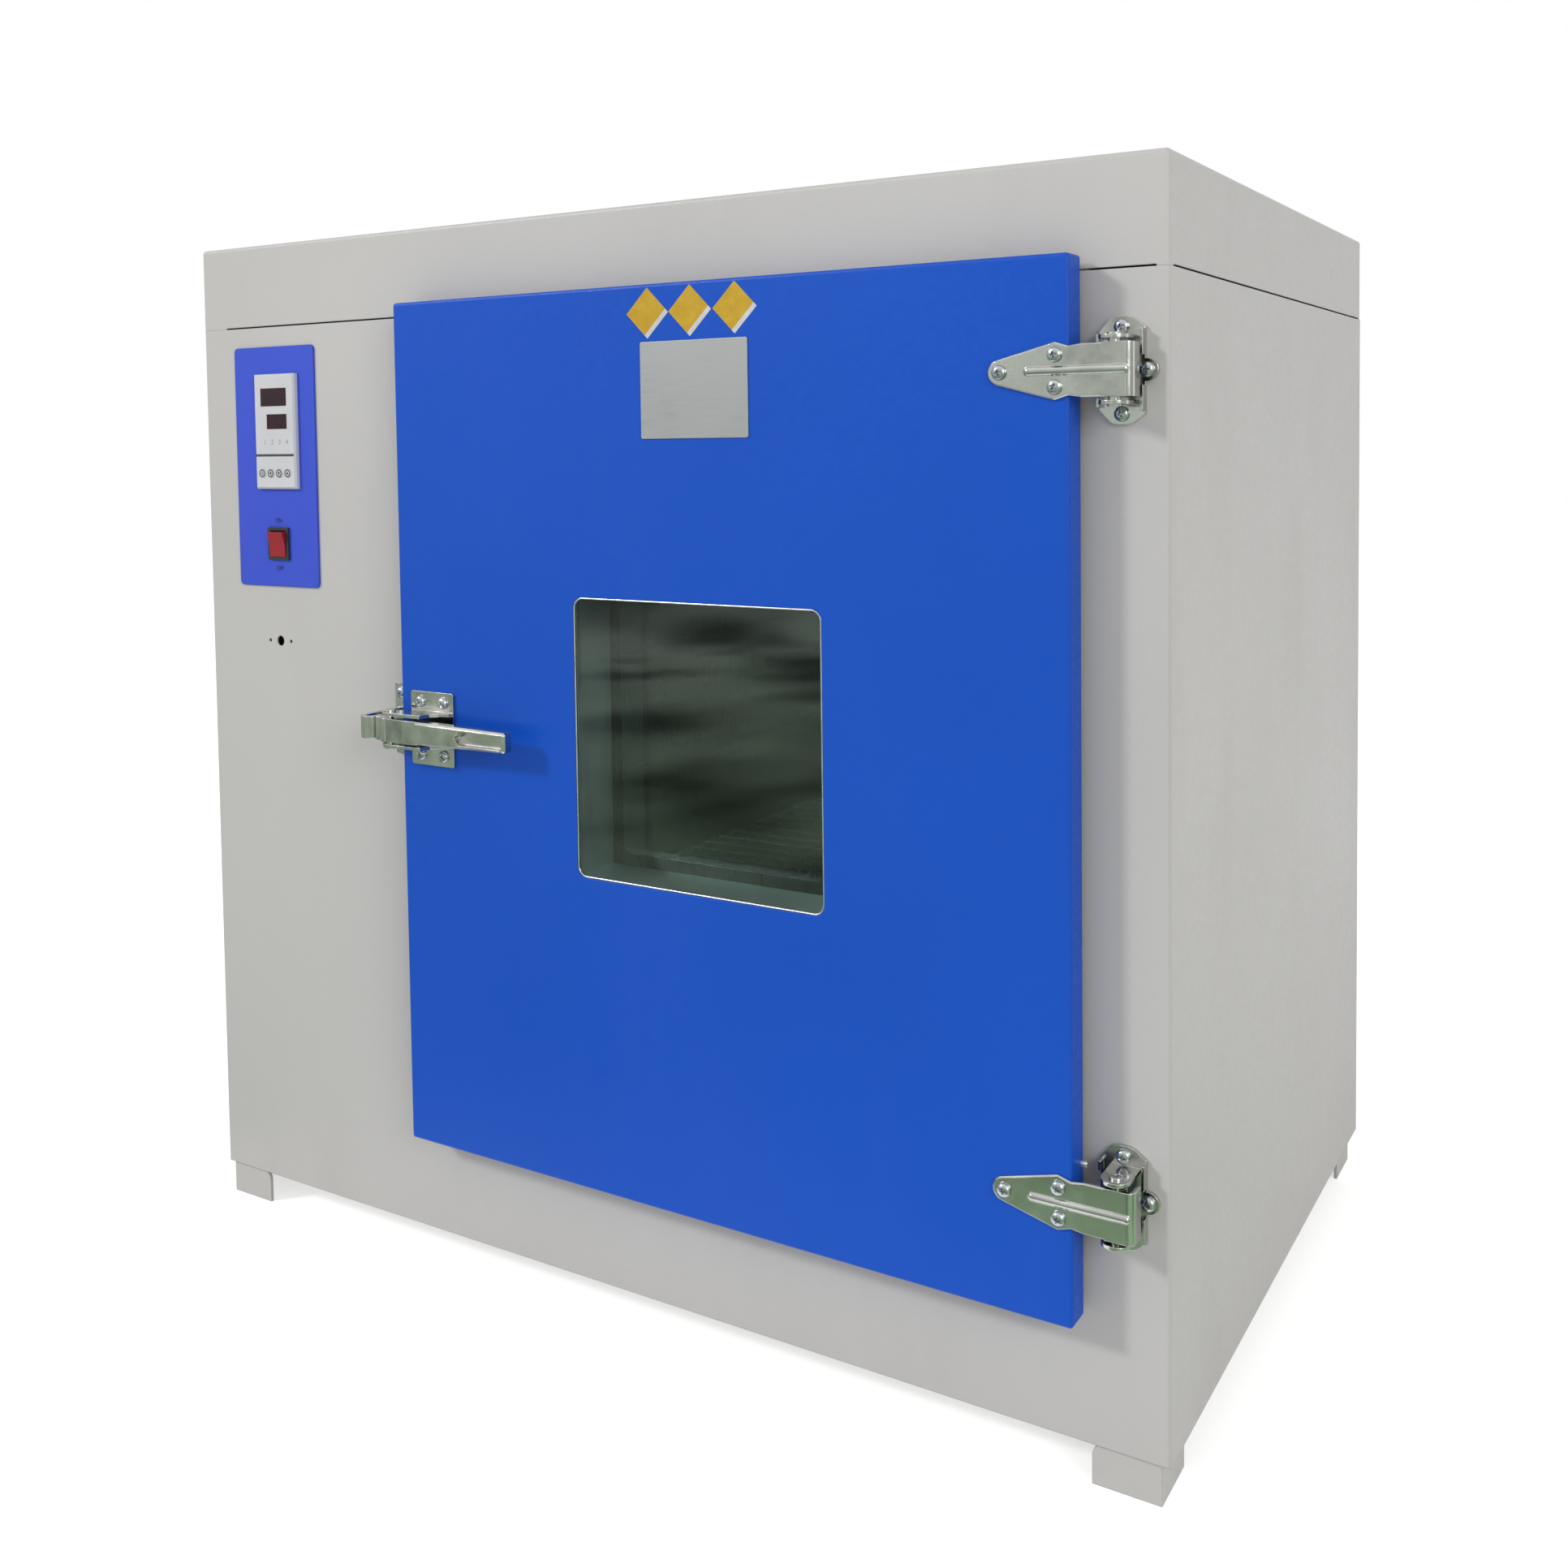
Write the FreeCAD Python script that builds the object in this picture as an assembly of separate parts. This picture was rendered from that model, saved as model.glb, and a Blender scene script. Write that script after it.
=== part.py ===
import FreeCAD, Part
import math
import os

# A hot air circulation oven: a sheet steel casing with a side-hinged door over a
# stainless chamber, and a compartment on the left for the controls and the fan motor.
# Millimetres. X runs to the oven's right, the front faces -Y, Z is up.
# The origin is on the floor under the middle of the whole oven, hardware included.

V = FreeCAD.Vector
X_AXIS = V(1, 0, 0)
Y_AXIS = V(0, 1, 0)
Z_AXIS = V(0, 0, 1)

# Chamber
chamber_width = 460.0
chamber_height = 565.0
chamber_depth = 440.0
liner_sheet = 1.0
liner_flange = 20.0
insulation = 45.0

# Casing, measured outwards from the door
door_overlap = 44.0          # the door laps over the chamber's mouth, left and right
door_overlap_end = 45.0      # and above and below
compartment_width = 249.0    # from the left side to the door
hinge_side_width = 53.0
under_door = 85.0
over_door = 60.0
rear_space = 62.8
casing_sheet = 1.2
bend_radius = 3.0
rear_flange = 16.0
cover_skirt = 69.0
seam_gap = 1.2
seam_stop_left = 29.0
seam_stop_right = 8.0
seam_stop_side = 7.0
pan_sheet = 1.5
pan_flange = 20.0
sheet_fit = 0.3              # gap between sheets that fit into each other

# Feet
foot_height = 27.0
foot_width = 45.0
foot_sheet = 2.5
foot_inset = 6.0
foot_inset_front = 2.0
foot_corner = 8.0
foot_tab = 18.0

# Door
door_stand = 26.0            # from the casing's front to the door's front
door_gap = 7.0               # from the casing's front to the door's back edge
door_flange = 12.0
door_edge_radius = 2.5
plug_clearance = 8.0
plug_depth = 24.0
inner_sheet = 1.0
inner_panel_inset = 3.0
gasket_width = 14.0
gasket_setback = 6.0
gasket_clearance = 0.3
insulation_fit = 0.5

# Window in the door
window_width = 206.0
window_height = 204.0
window_above_door_base = 231.0
window_corner = 8.0
glass = 4.0
glass_lap = 9.0
inner_window_lip = 8.0
inner_window_corner = 8.0
window_fit = 0.2

# Bare plate above the window
plate_width = 88.0
plate_height = 67.0
plate_sheet = 0.8
plate_corner = 1.5
plate_from_door_left = 235.0
plate_above_door_base = 548.0

# Strap hinges
hinge_below_door_top = 70.0
hinge_above_door_base = 79.0
pin_beyond_door = 26.0
pin_radius = 3.5
pin_clearance = 0.05
pin_behind_strap = 8.0       # from the strap's front face to the pin's axis
strap_thickness = 2.5
strap_edge = 0.8
strap_half_height = 16.0
strap_reach = 69.5           # from the pin to the screw in the strap's tip
strap_tip_radius = 8.0
strap_shoulder = 34.5
strap_shoulder_half = 17.4
strap_screw_x = 34.0
strap_screw_half = 9.6
strap_waist = 26.0
strap_waist_half = 14.8
strap_straight = 18.0
strap_end = 13.5             # the strap passes in front of the pin and folds back
strap_bend = 5.0
strap_wall = 5.0             # how far behind the pin the folded wall reaches
strap_hub_radius = 7.0
strap_rib_radius = 3.0
strap_rib_proud = 2.0
strap_rib_start = 51.0
bracket_thickness = 2.5
bracket_half_width = 14.5
bracket_half_height = 32.5
bracket_shift = 1.5
bracket_screw_half = 26.0
bracket_lobe = 15.5
bracket_lobe_radius = 7.0
bracket_rim = 5.0
bracket_rim_sheet = 1.8
ear_radius = 9.3
ear_thickness = 2.3
ear_gap = 2.2
pin_end_radius = 4.4
pin_end_height = 1.2
pin_end_hole = 1.5

# Pan head screws
screw_radius = 2.5
screw_head_radius = 4.7
screw_head_height = 3.2
screw_length = 9.0
screw_hole_gap = 0.15
small_screw_radius = 2.0
small_screw_head_radius = 3.8
small_screw_head_height = 2.4
small_screw_length = 7.0

# Door latch
latch_above_door_base = 328.0
latch_base_from_edge = 12.0
latch_base_width = 43.0
latch_base_height = 57.0
latch_base_sheet = 2.0
latch_screw_inset = 10.0
latch_screw_end = 8.0
latch_pivot_from_edge = 3.0
latch_pivot_stand = 16.0
latch_shelf_half = 11.0
latch_shelf_sheet = 2.5
latch_pin_radius = 3.0
latch_pin_head = 4.5
latch_pin_head_height = 1.5
lever_stand = 24.0
lever_hub_radius = 7.5
lever_height = 18.0
lever_tip_height = 15.0
lever_thickness = 8.0
lever_edge = 1.6
lever_reach = 121.0
lever_recess_length = 46.0
lever_recess_height = 10.5
lever_recess_depth = 6.0
lever_recess_end = 3.0
claw_reach = 14.2
claw_thickness = 6.0

# Keeper on the casing
keeper_gap = 2.0
keeper_width = 28.0
keeper_sheet = 2.5
keeper_arm_sheet = 4.0
keeper_arm_height = 17.0
keeper_hook_radius = 8.0
keeper_hook_gap = 0.8
keeper_hook_return = 5.0
keeper_screw_inset = 7.0

# Control panel, controller and switch
panel_from_left = 39.5
panel_below_top = 85.5
panel_width = 95.0
panel_height = 201.0
panel_sheet = 1.5
panel_corner = 4.0
controller_from_panel_left = 27.5
controller_below_panel_top = 23.0
controller_width = 48.0
controller_height = 96.0
controller_stand = 4.5
controller_edge = 1.5
controller_case_width = 44.5
controller_case_height = 91.5
controller_case_depth = 80.0
cutout_gap = 0.3
display_depth = 1.0
upper_display_width = 30.6
upper_display_height = 14.8
upper_display_below_top = 12.0
display_right_inset = 9.0
lower_display_width = 23.7
lower_display_height = 12.2
lower_display_below_top = 33.7
display_fit = 0.1
key_count = 4
key_pitch = 10.1
key_radius = 3.5
key_fit = 0.1
key_length = 3.0
key_stand = 0.8
key_travel = 0.7
key_spare = 0.5
key_above_base = 13.2
key_first_inset = 8.8
rocker_above_panel_base = 36.0
rocker_from_panel_left = 49.5
rocker_frame_width = 24.0
rocker_frame_height = 27.5
rocker_frame_stand = 2.0
rocker_body_width = 21.5
rocker_body_height = 25.0
rocker_body_depth = 24.0
rocker_wall = 1.5
rocker_tilt = 10.0
rocker_stand = 4.5
rocker_side_gap = 0.3
rocker_pivot_radius = 1.5
rocker_pivot_gap = 0.05

# Sensor port in the casing's front, left bare
port_from_left = 85.0
port_height = 467.0
port_radius = 4.25
port_screw_spacing = 25.0
port_screw_radius = 1.5

# Inside the chamber
floor_space = 60.0
mouth_setback = 40.0
duct_width = 58.0
inner_fit = 0.5
ledge_leg = 14.0
ledge_sheet = 1.2
ledge_setback = 58.0
ledge_count = 4
ledge_first = 80.0
ledge_pitch = 95.0
upper_shelf_level = 3
lower_shelf_level = 0
shelf_rod_radius = 3.0
shelf_wire_radius = 1.5
shelf_wire_pitch = 22.0
shelf_side_gap = 2.0
shelf_rest_gap = 0.3
shelf_travel = 28.0
heater_count = 3
heater_radius = 4.0
heater_bend = 26.0
heater_height = 28.0
heater_pitch = 118.0
heater_end_gap = 30.0
heater_terminal = 22.0
heater_collar_radius = 7.0
heater_collar = 3.0
pipe_gap = 0.3

# Fan and motor
shaft_radius = 4.0
shaft_clearance = 0.05
impeller_radius = 75.0
impeller_width = 34.0
impeller_from_wall = 12.0
impeller_sheet = 1.2
impeller_ring_width = 14.0
blade_count = 20
blade_angle = 35.0
hub_radius = 12.0
hub_length = 20.0
motor_radius = 46.0
motor_length = 88.0
motor_nose_radius = 20.0
motor_nose = 8.0
motor_plate = 3.0
motor_plate_size = 124.0
motor_bore_length = 62.0
shaft_hole_gap = 3.0

# Probe, exhaust and electrical parts
probe_radius = 3.0
probe_from_back = 90.0
probe_below_top = 70.0
probe_end_gap = 12.0         # from the probe's tip to the duct plate
probe_head_radius = 7.0
probe_head_length = 24.0
exhaust_radius = 25.0
exhaust_wall = 1.5
exhaust_flange_radius = 40.0
exhaust_flange = 1.5
exhaust_stand = 9.0
exhaust_grille = 1.5
damper_gap = 0.3
damper_radius = 28.0
damper_sheet = 1.5
damper_knob_radius = 8.0
damper_knob_height = 10.0
damper_pin_radius = 2.5
damper_clip_radius = 5.0
damper_clip = 1.5
damper_sector = 80.0
damper_sector_inner = 8.0
damper_sector_outer = 20.0
terminal_length = 96.0
terminal_width = 30.0
terminal_height = 28.0
terminal_poles = 6
terminal_from_left = 40.0
terminal_from_back = 150.0
gland_from_left = 120.0
gland_height = 110.0
gland_bore = 5.0
gland_radius = 9.0
gland_nut_radius = 13.0
gland_nut_length = 6.0
gland_length = 22.0
gland_inside = 10.0
vent_slots = 9
vent_slot_length = 110.0
vent_slot_height = 5.0
vent_slot_pitch = 14.0
vent_height = 330.0
rear_screws_per_side = 4
stand_sheet = 1.5
stand_width = 60.0
stand_count = 2

# Places that follow from the sizes above
door_width = chamber_width + 2 * door_overlap
door_height = chamber_height + 2 * door_overlap_end
body_width = compartment_width + door_width + hinge_side_width
body_height = under_door + door_height + over_door
body_depth = casing_sheet + chamber_depth + liner_sheet + insulation + rear_space
front_reach = door_stand + lever_stand
rear_reach = gland_length

left = -body_width / 2
right = body_width / 2
front = (front_reach - rear_reach - body_depth) / 2
back = front + body_depth
bottom = foot_height
top = bottom + body_height
seam_z = top - cover_skirt

door_x0 = left + compartment_width
door_x1 = door_x0 + door_width
door_z0 = bottom + under_door
door_z1 = door_z0 + door_height
door_front = front - door_stand
door_back = front - door_gap

chamber_x0 = door_x0 + door_overlap
chamber_x1 = chamber_x0 + chamber_width
chamber_z0 = door_z0 + door_overlap_end
chamber_z1 = chamber_z0 + chamber_height
chamber_y0 = front + casing_sheet
chamber_y1 = chamber_y0 + chamber_depth
chamber_mid_x = (chamber_x0 + chamber_x1) / 2
chamber_mid_y = chamber_y0 + chamber_depth / 2
chamber_mid_z = (chamber_z0 + chamber_z1) / 2
wrap_x0 = chamber_x0 - liner_sheet - insulation
partition_x1 = wrap_x0
partition_x0 = partition_x1 - casing_sheet
floor_z = chamber_z0 + floor_space
duct_x = chamber_x0 + duct_width
fittings_y0 = chamber_y0 + mouth_setback

plug_x0 = chamber_x0 + plug_clearance
plug_x1 = chamber_x1 - plug_clearance
plug_z0 = chamber_z0 + plug_clearance
plug_z1 = chamber_z1 - plug_clearance
plug_back = front + plug_depth

window_x0 = (door_x0 + door_x1 - window_width) / 2
window_x1 = window_x0 + window_width
window_z0 = door_z0 + window_above_door_base
window_z1 = window_z0 + window_height

pin_x = door_x1 + pin_beyond_door
pin_y = door_front - strap_thickness + pin_behind_strap
hinge_heights = {
    "upper": door_z1 - hinge_below_door_top,
    "lower": door_z0 + hinge_above_door_base,
}

latch_z = door_z0 + latch_above_door_base
latch_pivot = (door_x0 + latch_pivot_from_edge, door_front - latch_pivot_stand)
lever_front = door_front - lever_stand
base_x0 = door_x0 + latch_base_from_edge
base_x1 = base_x0 + latch_base_width
keeper_x1 = door_x0 - keeper_gap
keeper_x0 = keeper_x1 - keeper_width

panel_x0 = left + panel_from_left
panel_x1 = panel_x0 + panel_width
panel_z1 = top - panel_below_top
panel_z0 = panel_z1 - panel_height
panel_front = front - panel_sheet
controller_x0 = panel_x0 + controller_from_panel_left
controller_x1 = controller_x0 + controller_width
controller_z1 = panel_z1 - controller_below_panel_top
controller_z0 = controller_z1 - controller_height
controller_front = panel_front - controller_stand
controller_mid_x = (controller_x0 + controller_x1) / 2
controller_mid_z = (controller_z0 + controller_z1) / 2
rocker_x = panel_x0 + rocker_from_panel_left
rocker_z = panel_z0 + rocker_above_panel_base
rocker_y = panel_front - rocker_frame_stand + rocker_pivot_radius + 0.5

fan_y = chamber_mid_y
fan_z = chamber_mid_z
impeller_x0 = chamber_x0 + impeller_from_wall
motor_x1 = partition_x0 - motor_plate
motor_x0 = motor_x1 - motor_length
probe_y = chamber_y1 - probe_from_back
probe_z = chamber_z1 - probe_below_top
exhaust_top = top + exhaust_stand


# Shape helpers

def block(x0, x1, y0, y1, z0, z1):
    """A rectangular block between two values on each axis."""
    return Part.makeBox(x1 - x0, y1 - y0, z1 - z0, V(x0, y0, z0))


def rod(radius, start, direction, length):
    """A round bar from a point along a direction."""
    return Part.makeCylinder(radius, length, V(*start), direction)


def pipe(outer, inner, start, direction, length):
    """A round tube from a point along a direction."""
    return rod(outer, start, direction, length).cut(rod(inner, start, direction, length))


def join(pieces):
    """One solid from touching pieces."""
    return pieces[0].fuse(pieces[1:]).removeSplitter()


def edges_along(shape, axis, near=None):
    """The straight edges that run along an axis, or those of them whose middle passes the test."""
    found = []
    for edge in shape.Edges:
        if not isinstance(edge.Curve, Part.Line):
            continue
        ends = [v.Point for v in edge.Vertexes]
        run = ends[1] - ends[0]
        if abs(run.dot(axis)) < 0.999 * run.Length:
            continue
        if near is None or near(edge.CenterOfMass):
            found.append(edge)
    return found


def rounded(shape, radius, axis, near=None):
    """The shape with its edges along an axis rounded."""
    if radius <= 0:
        return shape
    return shape.makeFillet(radius, edges_along(shape, axis, near))


def panel(x0, x1, y0, y1, z0, z1, radius):
    """An upright plate with round corners as seen from the front."""
    return rounded(block(x0, x1, y0, y1, z0, z1), radius, Y_AXIS)


def plate_from(points, y0, y1):
    """An upright plate from the corners of its outline, given as (x, z)."""
    corners = [V(x, y0, z) for x, z in points]
    face = Part.Face(Part.makePolygon(corners + corners[:1]))
    return face.extrude(V(0, y1 - y0, 0))


def shelf_from(points, z0, z1):
    """A level plate from the corners of its outline, given as (x, y)."""
    corners = [V(x, y, z0) for x, y in points]
    face = Part.Face(Part.makePolygon(corners + corners[:1]))
    return face.extrude(V(0, 0, z1 - z0))


def drilled(shape, places, radius, y0, y1):
    """The shape with round holes along Y at each (x, z)."""
    for x, z in places:
        shape = shape.cut(rod(radius, (x, y0, z), Y_AXIS, y1 - y0))
    return shape


def pan_screw(x, seat_y, z, facing, radius, head_radius, head_height, length):
    """A pan head screw along Y, its head on the side that facing points to (-1 is the front)."""
    out = V(0, facing, 0)
    head = Part.makeCylinder(head_radius, head_height, V(x, seat_y, z), out)
    crown_y = seat_y + facing * head_height
    rim = [e for e in head.Edges if abs(e.CenterOfMass.y - crown_y) < 1e-6 and len(e.Vertexes) == 1]
    head = head.makeFillet(head_height * 0.6, [e for e in rim if isinstance(e.Curve, Part.Circle)])
    slot = head_radius * 0.55
    blade = head_radius * 0.13
    depth = head_height * 0.45
    low = min(crown_y, crown_y - facing * depth)
    for half_x, half_z in ((slot, blade), (blade, slot)):
        head = head.cut(block(x - half_x, x + half_x, low, low + depth, z - half_z, z + half_z))
    shank = Part.makeCylinder(radius, length, V(x, seat_y, z), out * -1)
    return join([head, shank])


def hinge_screw(x, seat_y, z):
    """A screw of the size used on the hinges, the latch and the keeper."""
    return pan_screw(x, seat_y, z, -1, screw_radius, screw_head_radius, screw_head_height, screw_length)


# Places of the screws, used by the pieces they pass through

def strap_screw_places(height):
    """The three screws of one strap, as (x, z)."""
    return [
        (pin_x - strap_reach, height),
        (pin_x - strap_screw_x, height + strap_screw_half),
        (pin_x - strap_screw_x, height - strap_screw_half),
    ]


def bracket_screw_places(height):
    """The three screws of one bracket, as (x, z)."""
    middle = pin_x - bracket_shift
    return [
        (middle, height + bracket_screw_half),
        (middle, height - bracket_screw_half),
        (middle + bracket_lobe, height),
    ]


def grid_places(x0, x1, z0, z1):
    """The four corners of a screw pattern, as (x, z)."""
    return [(x, z) for x in (x0, x1) for z in (z0, z1)]


def latch_screw_places():
    """The four screws of the latch's base."""
    half = latch_base_height / 2 - latch_screw_end
    return grid_places(base_x0 + latch_screw_inset, base_x1 - latch_screw_inset, latch_z - half, latch_z + half)


def keeper_screw_places():
    """The four screws of the keeper."""
    half = latch_base_height / 2 - latch_screw_end
    return grid_places(keeper_x0 + keeper_screw_inset, keeper_x1 - keeper_screw_inset, latch_z - half, latch_z + half)


def rear_screw_places():
    """The screws down both edges of the back panel."""
    inset = casing_sheet + rear_flange / 2
    step = (seam_z - bottom) / rear_screws_per_side
    heights = [bottom + step * (i + 0.5) for i in range(rear_screws_per_side)]
    return [(x, z) for x in (left + inset, right - inset) for z in heights]


def port_screw_places():
    """The two small holes beside the sensor port."""
    x = left + port_from_left
    return [(x - port_screw_spacing / 2, bottom + port_height), (x + port_screw_spacing / 2, bottom + port_height)]


# Casing

def controller_cutout(y0, y1):
    """The hole that the controller's case passes through."""
    half_x = controller_case_width / 2 + cutout_gap
    half_z = controller_case_height / 2 + cutout_gap
    return block(controller_mid_x - half_x, controller_mid_x + half_x, y0, y1,
                 controller_mid_z - half_z, controller_mid_z + half_z)


def rocker_cutout(y0, y1):
    """The hole that the switch's body passes through."""
    half_x = rocker_body_width / 2 + cutout_gap
    half_z = rocker_body_height / 2 + cutout_gap
    return block(rocker_x - half_x, rocker_x + half_x, y0, y1, rocker_z - half_z, rocker_z + half_z)


def body_shell():
    """Left side, front and right side, folded from one sheet."""
    outer = block(left, right, front, back, bottom, seam_z)
    outer = rounded(outer, bend_radius, Z_AXIS, lambda p: p.y < front + 1)
    inner = block(left + casing_sheet, right - casing_sheet, front + casing_sheet, back + 1, bottom - 1, seam_z + 1)
    inner = rounded(inner, bend_radius - casing_sheet, Z_AXIS, lambda p: p.y < front + casing_sheet + 1)
    shell = outer.cut(inner)
    flange_y0 = back - 2 * casing_sheet
    flange_y1 = back - casing_sheet
    flanges = [
        block(left + casing_sheet, left + casing_sheet + rear_flange, flange_y0, flange_y1, bottom, seam_z),
        block(right - casing_sheet - rear_flange, right - casing_sheet, flange_y0, flange_y1, bottom, seam_z),
    ]
    shell = join([shell] + flanges)
    y0 = front - 1
    y1 = front + casing_sheet + 1
    shell = shell.cut(block(chamber_x0, chamber_x1, y0, y1, chamber_z0, chamber_z1))
    shell = shell.cut(controller_cutout(y0, y1))
    shell = shell.cut(rocker_cutout(y0, y1))
    screw_hole = screw_radius + screw_hole_gap
    for height in hinge_heights.values():
        shell = drilled(shell, bracket_screw_places(height), screw_hole, y0, y1)
    shell = drilled(shell, keeper_screw_places(), screw_hole, y0, y1)
    shell = drilled(shell, [(left + port_from_left, bottom + port_height)], port_radius, y0, y1)
    shell = drilled(shell, port_screw_places(), port_screw_radius, y0, y1)
    return drilled(shell, rear_screw_places(), small_screw_radius + screw_hole_gap, flange_y0 - 1, flange_y1 + 1)


def top_cover():
    """The lid of the casing. Its skirt meets the shell at the corners and leaves a seam between them."""
    outer = block(left, right, front, back, seam_z, top)
    outer = outer.makeFillet(bend_radius, [e for e in outer.Edges if e.CenterOfMass.z > seam_z + 1])
    inner = block(left + casing_sheet, right - casing_sheet, front + casing_sheet, back - casing_sheet,
                  seam_z - 1, top - casing_sheet)
    inner_bend = bend_radius - casing_sheet
    inner = inner.makeFillet(inner_bend, [e for e in inner.Edges if e.CenterOfMass.z > seam_z])
    cover = outer.cut(inner)
    seam_top = seam_z + seam_gap
    deep = casing_sheet + 1
    seams = [
        block(left + seam_stop_left, right - seam_stop_right, front - 1, front + deep, seam_z - 1, seam_top),
        block(left - 1, left + deep, front + seam_stop_side, back - seam_stop_side, seam_z - 1, seam_top),
        block(right - deep, right + 1, front + seam_stop_side, back - seam_stop_side, seam_z - 1, seam_top),
    ]
    for seam in seams:
        cover = cover.cut(seam)
    hole = exhaust_radius + pipe_gap
    return cover.cut(rod(hole, (chamber_mid_x, chamber_mid_y, top - 5), Z_AXIS, 10))


def back_panel():
    """The rear sheet, screwed to the shell's flanges, with vent slots behind the motor."""
    inset = casing_sheet + sheet_fit
    sheet = block(left + inset, right - inset, back - casing_sheet, back, bottom, seam_z - sheet_fit)
    slot_x = (left + partition_x0) / 2
    for i in range(vent_slots):
        z = bottom + vent_height + i * vent_slot_pitch
        slot = panel(slot_x - vent_slot_length / 2, slot_x + vent_slot_length / 2, back - casing_sheet - 1, back + 1,
                     z, z + vent_slot_height, vent_slot_height * 0.49)
        sheet = sheet.cut(slot)
    sheet = drilled(sheet, [(left + gland_from_left, bottom + gland_height)], gland_radius + pipe_gap,
                    back - casing_sheet - 1, back + 1)
    return drilled(sheet, rear_screw_places(), small_screw_radius + screw_hole_gap, back - casing_sheet - 1, back + 1)


def base_pan():
    """The floor of the casing, a tray with a rim."""
    inset = casing_sheet
    y0 = front + inset
    y1 = back - 2 * casing_sheet - sheet_fit
    outer = block(left + inset, right - inset, y0, y1, bottom, bottom + pan_flange)
    outer = rounded(outer, bend_radius, Z_AXIS)
    inner = block(left + inset + pan_sheet, right - inset - pan_sheet, y0 + pan_sheet, y1 - pan_sheet,
                  bottom + pan_sheet, bottom + pan_flange + 1)
    inner = rounded(inner, bend_radius - pan_sheet / 2, Z_AXIS)
    return outer.cut(inner)


def foot(to_right, to_back):
    """One folded sheet foot: a front leaf, a side leaf and a tab welded under the base."""
    x_out = right - foot_inset if to_right else left + foot_inset
    y_out = back - foot_inset if to_back else front + foot_inset_front
    x_in = x_out - foot_width if to_right else x_out + foot_width
    y_in = y_out - foot_width if to_back else y_out + foot_width
    x_skin = x_out - foot_sheet if to_right else x_out + foot_sheet
    y_skin = y_out - foot_sheet if to_back else y_out + foot_sheet
    y_tab = y_out - foot_tab if to_back else y_out + foot_tab
    xs = sorted((x_out, x_in))
    ys = sorted((y_out, y_in))
    face = block(xs[0], xs[1], min(y_out, y_skin), max(y_out, y_skin), 0, foot_height)
    face = rounded(face, foot_corner, Y_AXIS, lambda p: abs(p.x - x_in) < 1 and p.z > foot_height / 2)
    side = block(min(x_out, x_skin), max(x_out, x_skin), ys[0], ys[1], 0, foot_height)
    side = rounded(side, foot_corner, X_AXIS, lambda p: abs(p.y - y_in) < 1 and p.z > foot_height / 2)
    tab_x = x_in - foot_corner if x_in > x_out else x_in + foot_corner
    tab = block(min(x_out, tab_x), max(x_out, tab_x), min(y_out, y_tab), max(y_out, y_tab),
                foot_height - foot_sheet, foot_height)
    return join([face, side, tab])


def compartment_partition():
    """The upright sheet between the controls and the insulated chamber."""
    y0 = front + casing_sheet + pan_sheet + sheet_fit
    y1 = back - 2 * casing_sheet - 2 * sheet_fit - pan_sheet
    sheet = block(partition_x0, partition_x1, y0, y1, bottom + pan_sheet, top - casing_sheet - sheet_fit)
    sheet = sheet.cut(rod(shaft_radius + shaft_hole_gap, (partition_x0 - 1, fan_y, fan_z), X_AXIS, 5))
    sheet = sheet.cut(rod(probe_radius + pipe_gap, (partition_x0 - 1, probe_y, probe_z), X_AXIS, 5))
    for y, z in heater_leg_places():
        sheet = sheet.cut(rod(heater_radius + pipe_gap, (partition_x0 - 1, y, z), X_AXIS, 5))
    return sheet


def chamber_stands():
    """Folded channels that carry the insulated chamber on the base."""
    z0 = bottom + pan_sheet
    z1 = chamber_z0 - liner_sheet - insulation
    x0 = wrap_x0 + insulation
    x1 = chamber_x1 + liner_sheet
    step = chamber_depth / stand_count
    stands = []
    for i in range(stand_count):
        y0 = chamber_y0 + step * (i + 0.5) - stand_width / 2
        y1 = y0 + stand_width
        solid = block(x0, x1, y0, y1, z0, z1)
        hollow = block(x0 - 1, x1 + 1, y0 + stand_sheet, y1 - stand_sheet, z0 - 1, z1 - stand_sheet)
        stands.append(solid.cut(hollow))
    return Part.makeCompound(stands)


# Chamber

def pass_holes(shape, x0, x1, extra):
    """The shape with the holes that the shaft, probe and heater legs need through its left wall."""
    shape = shape.cut(rod(shaft_radius + shaft_hole_gap, (x0, fan_y, fan_z), X_AXIS, x1 - x0))
    shape = shape.cut(rod(probe_radius + extra, (x0, probe_y, probe_z), X_AXIS, x1 - x0))
    for y, z in heater_leg_places():
        shape = shape.cut(rod(heater_radius + extra, (x0, y, z), X_AXIS, x1 - x0))
    return shape


def chamber_liner():
    """The stainless box that holds the load, open at the front, with a flange behind the casing."""
    y1 = chamber_y1 + liner_sheet
    outer = block(chamber_x0 - liner_sheet, chamber_x1 + liner_sheet, chamber_y0, y1,
                  chamber_z0 - liner_sheet, chamber_z1 + liner_sheet)
    rim = block(chamber_x0 - liner_flange, chamber_x1 + liner_flange, chamber_y0, chamber_y0 + liner_sheet,
                chamber_z0 - liner_flange, chamber_z1 + liner_flange)
    inner = block(chamber_x0, chamber_x1, chamber_y0 - 1, chamber_y1, chamber_z0, chamber_z1)
    liner = join([outer, rim]).cut(inner)
    liner = pass_holes(liner, chamber_x0 - liner_sheet - 1, chamber_x0 + 1, pipe_gap)
    hole = exhaust_radius + pipe_gap
    return liner.cut(rod(hole, (chamber_mid_x, chamber_mid_y, chamber_z1 - 1), Z_AXIS, liner_sheet + 2))


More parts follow.
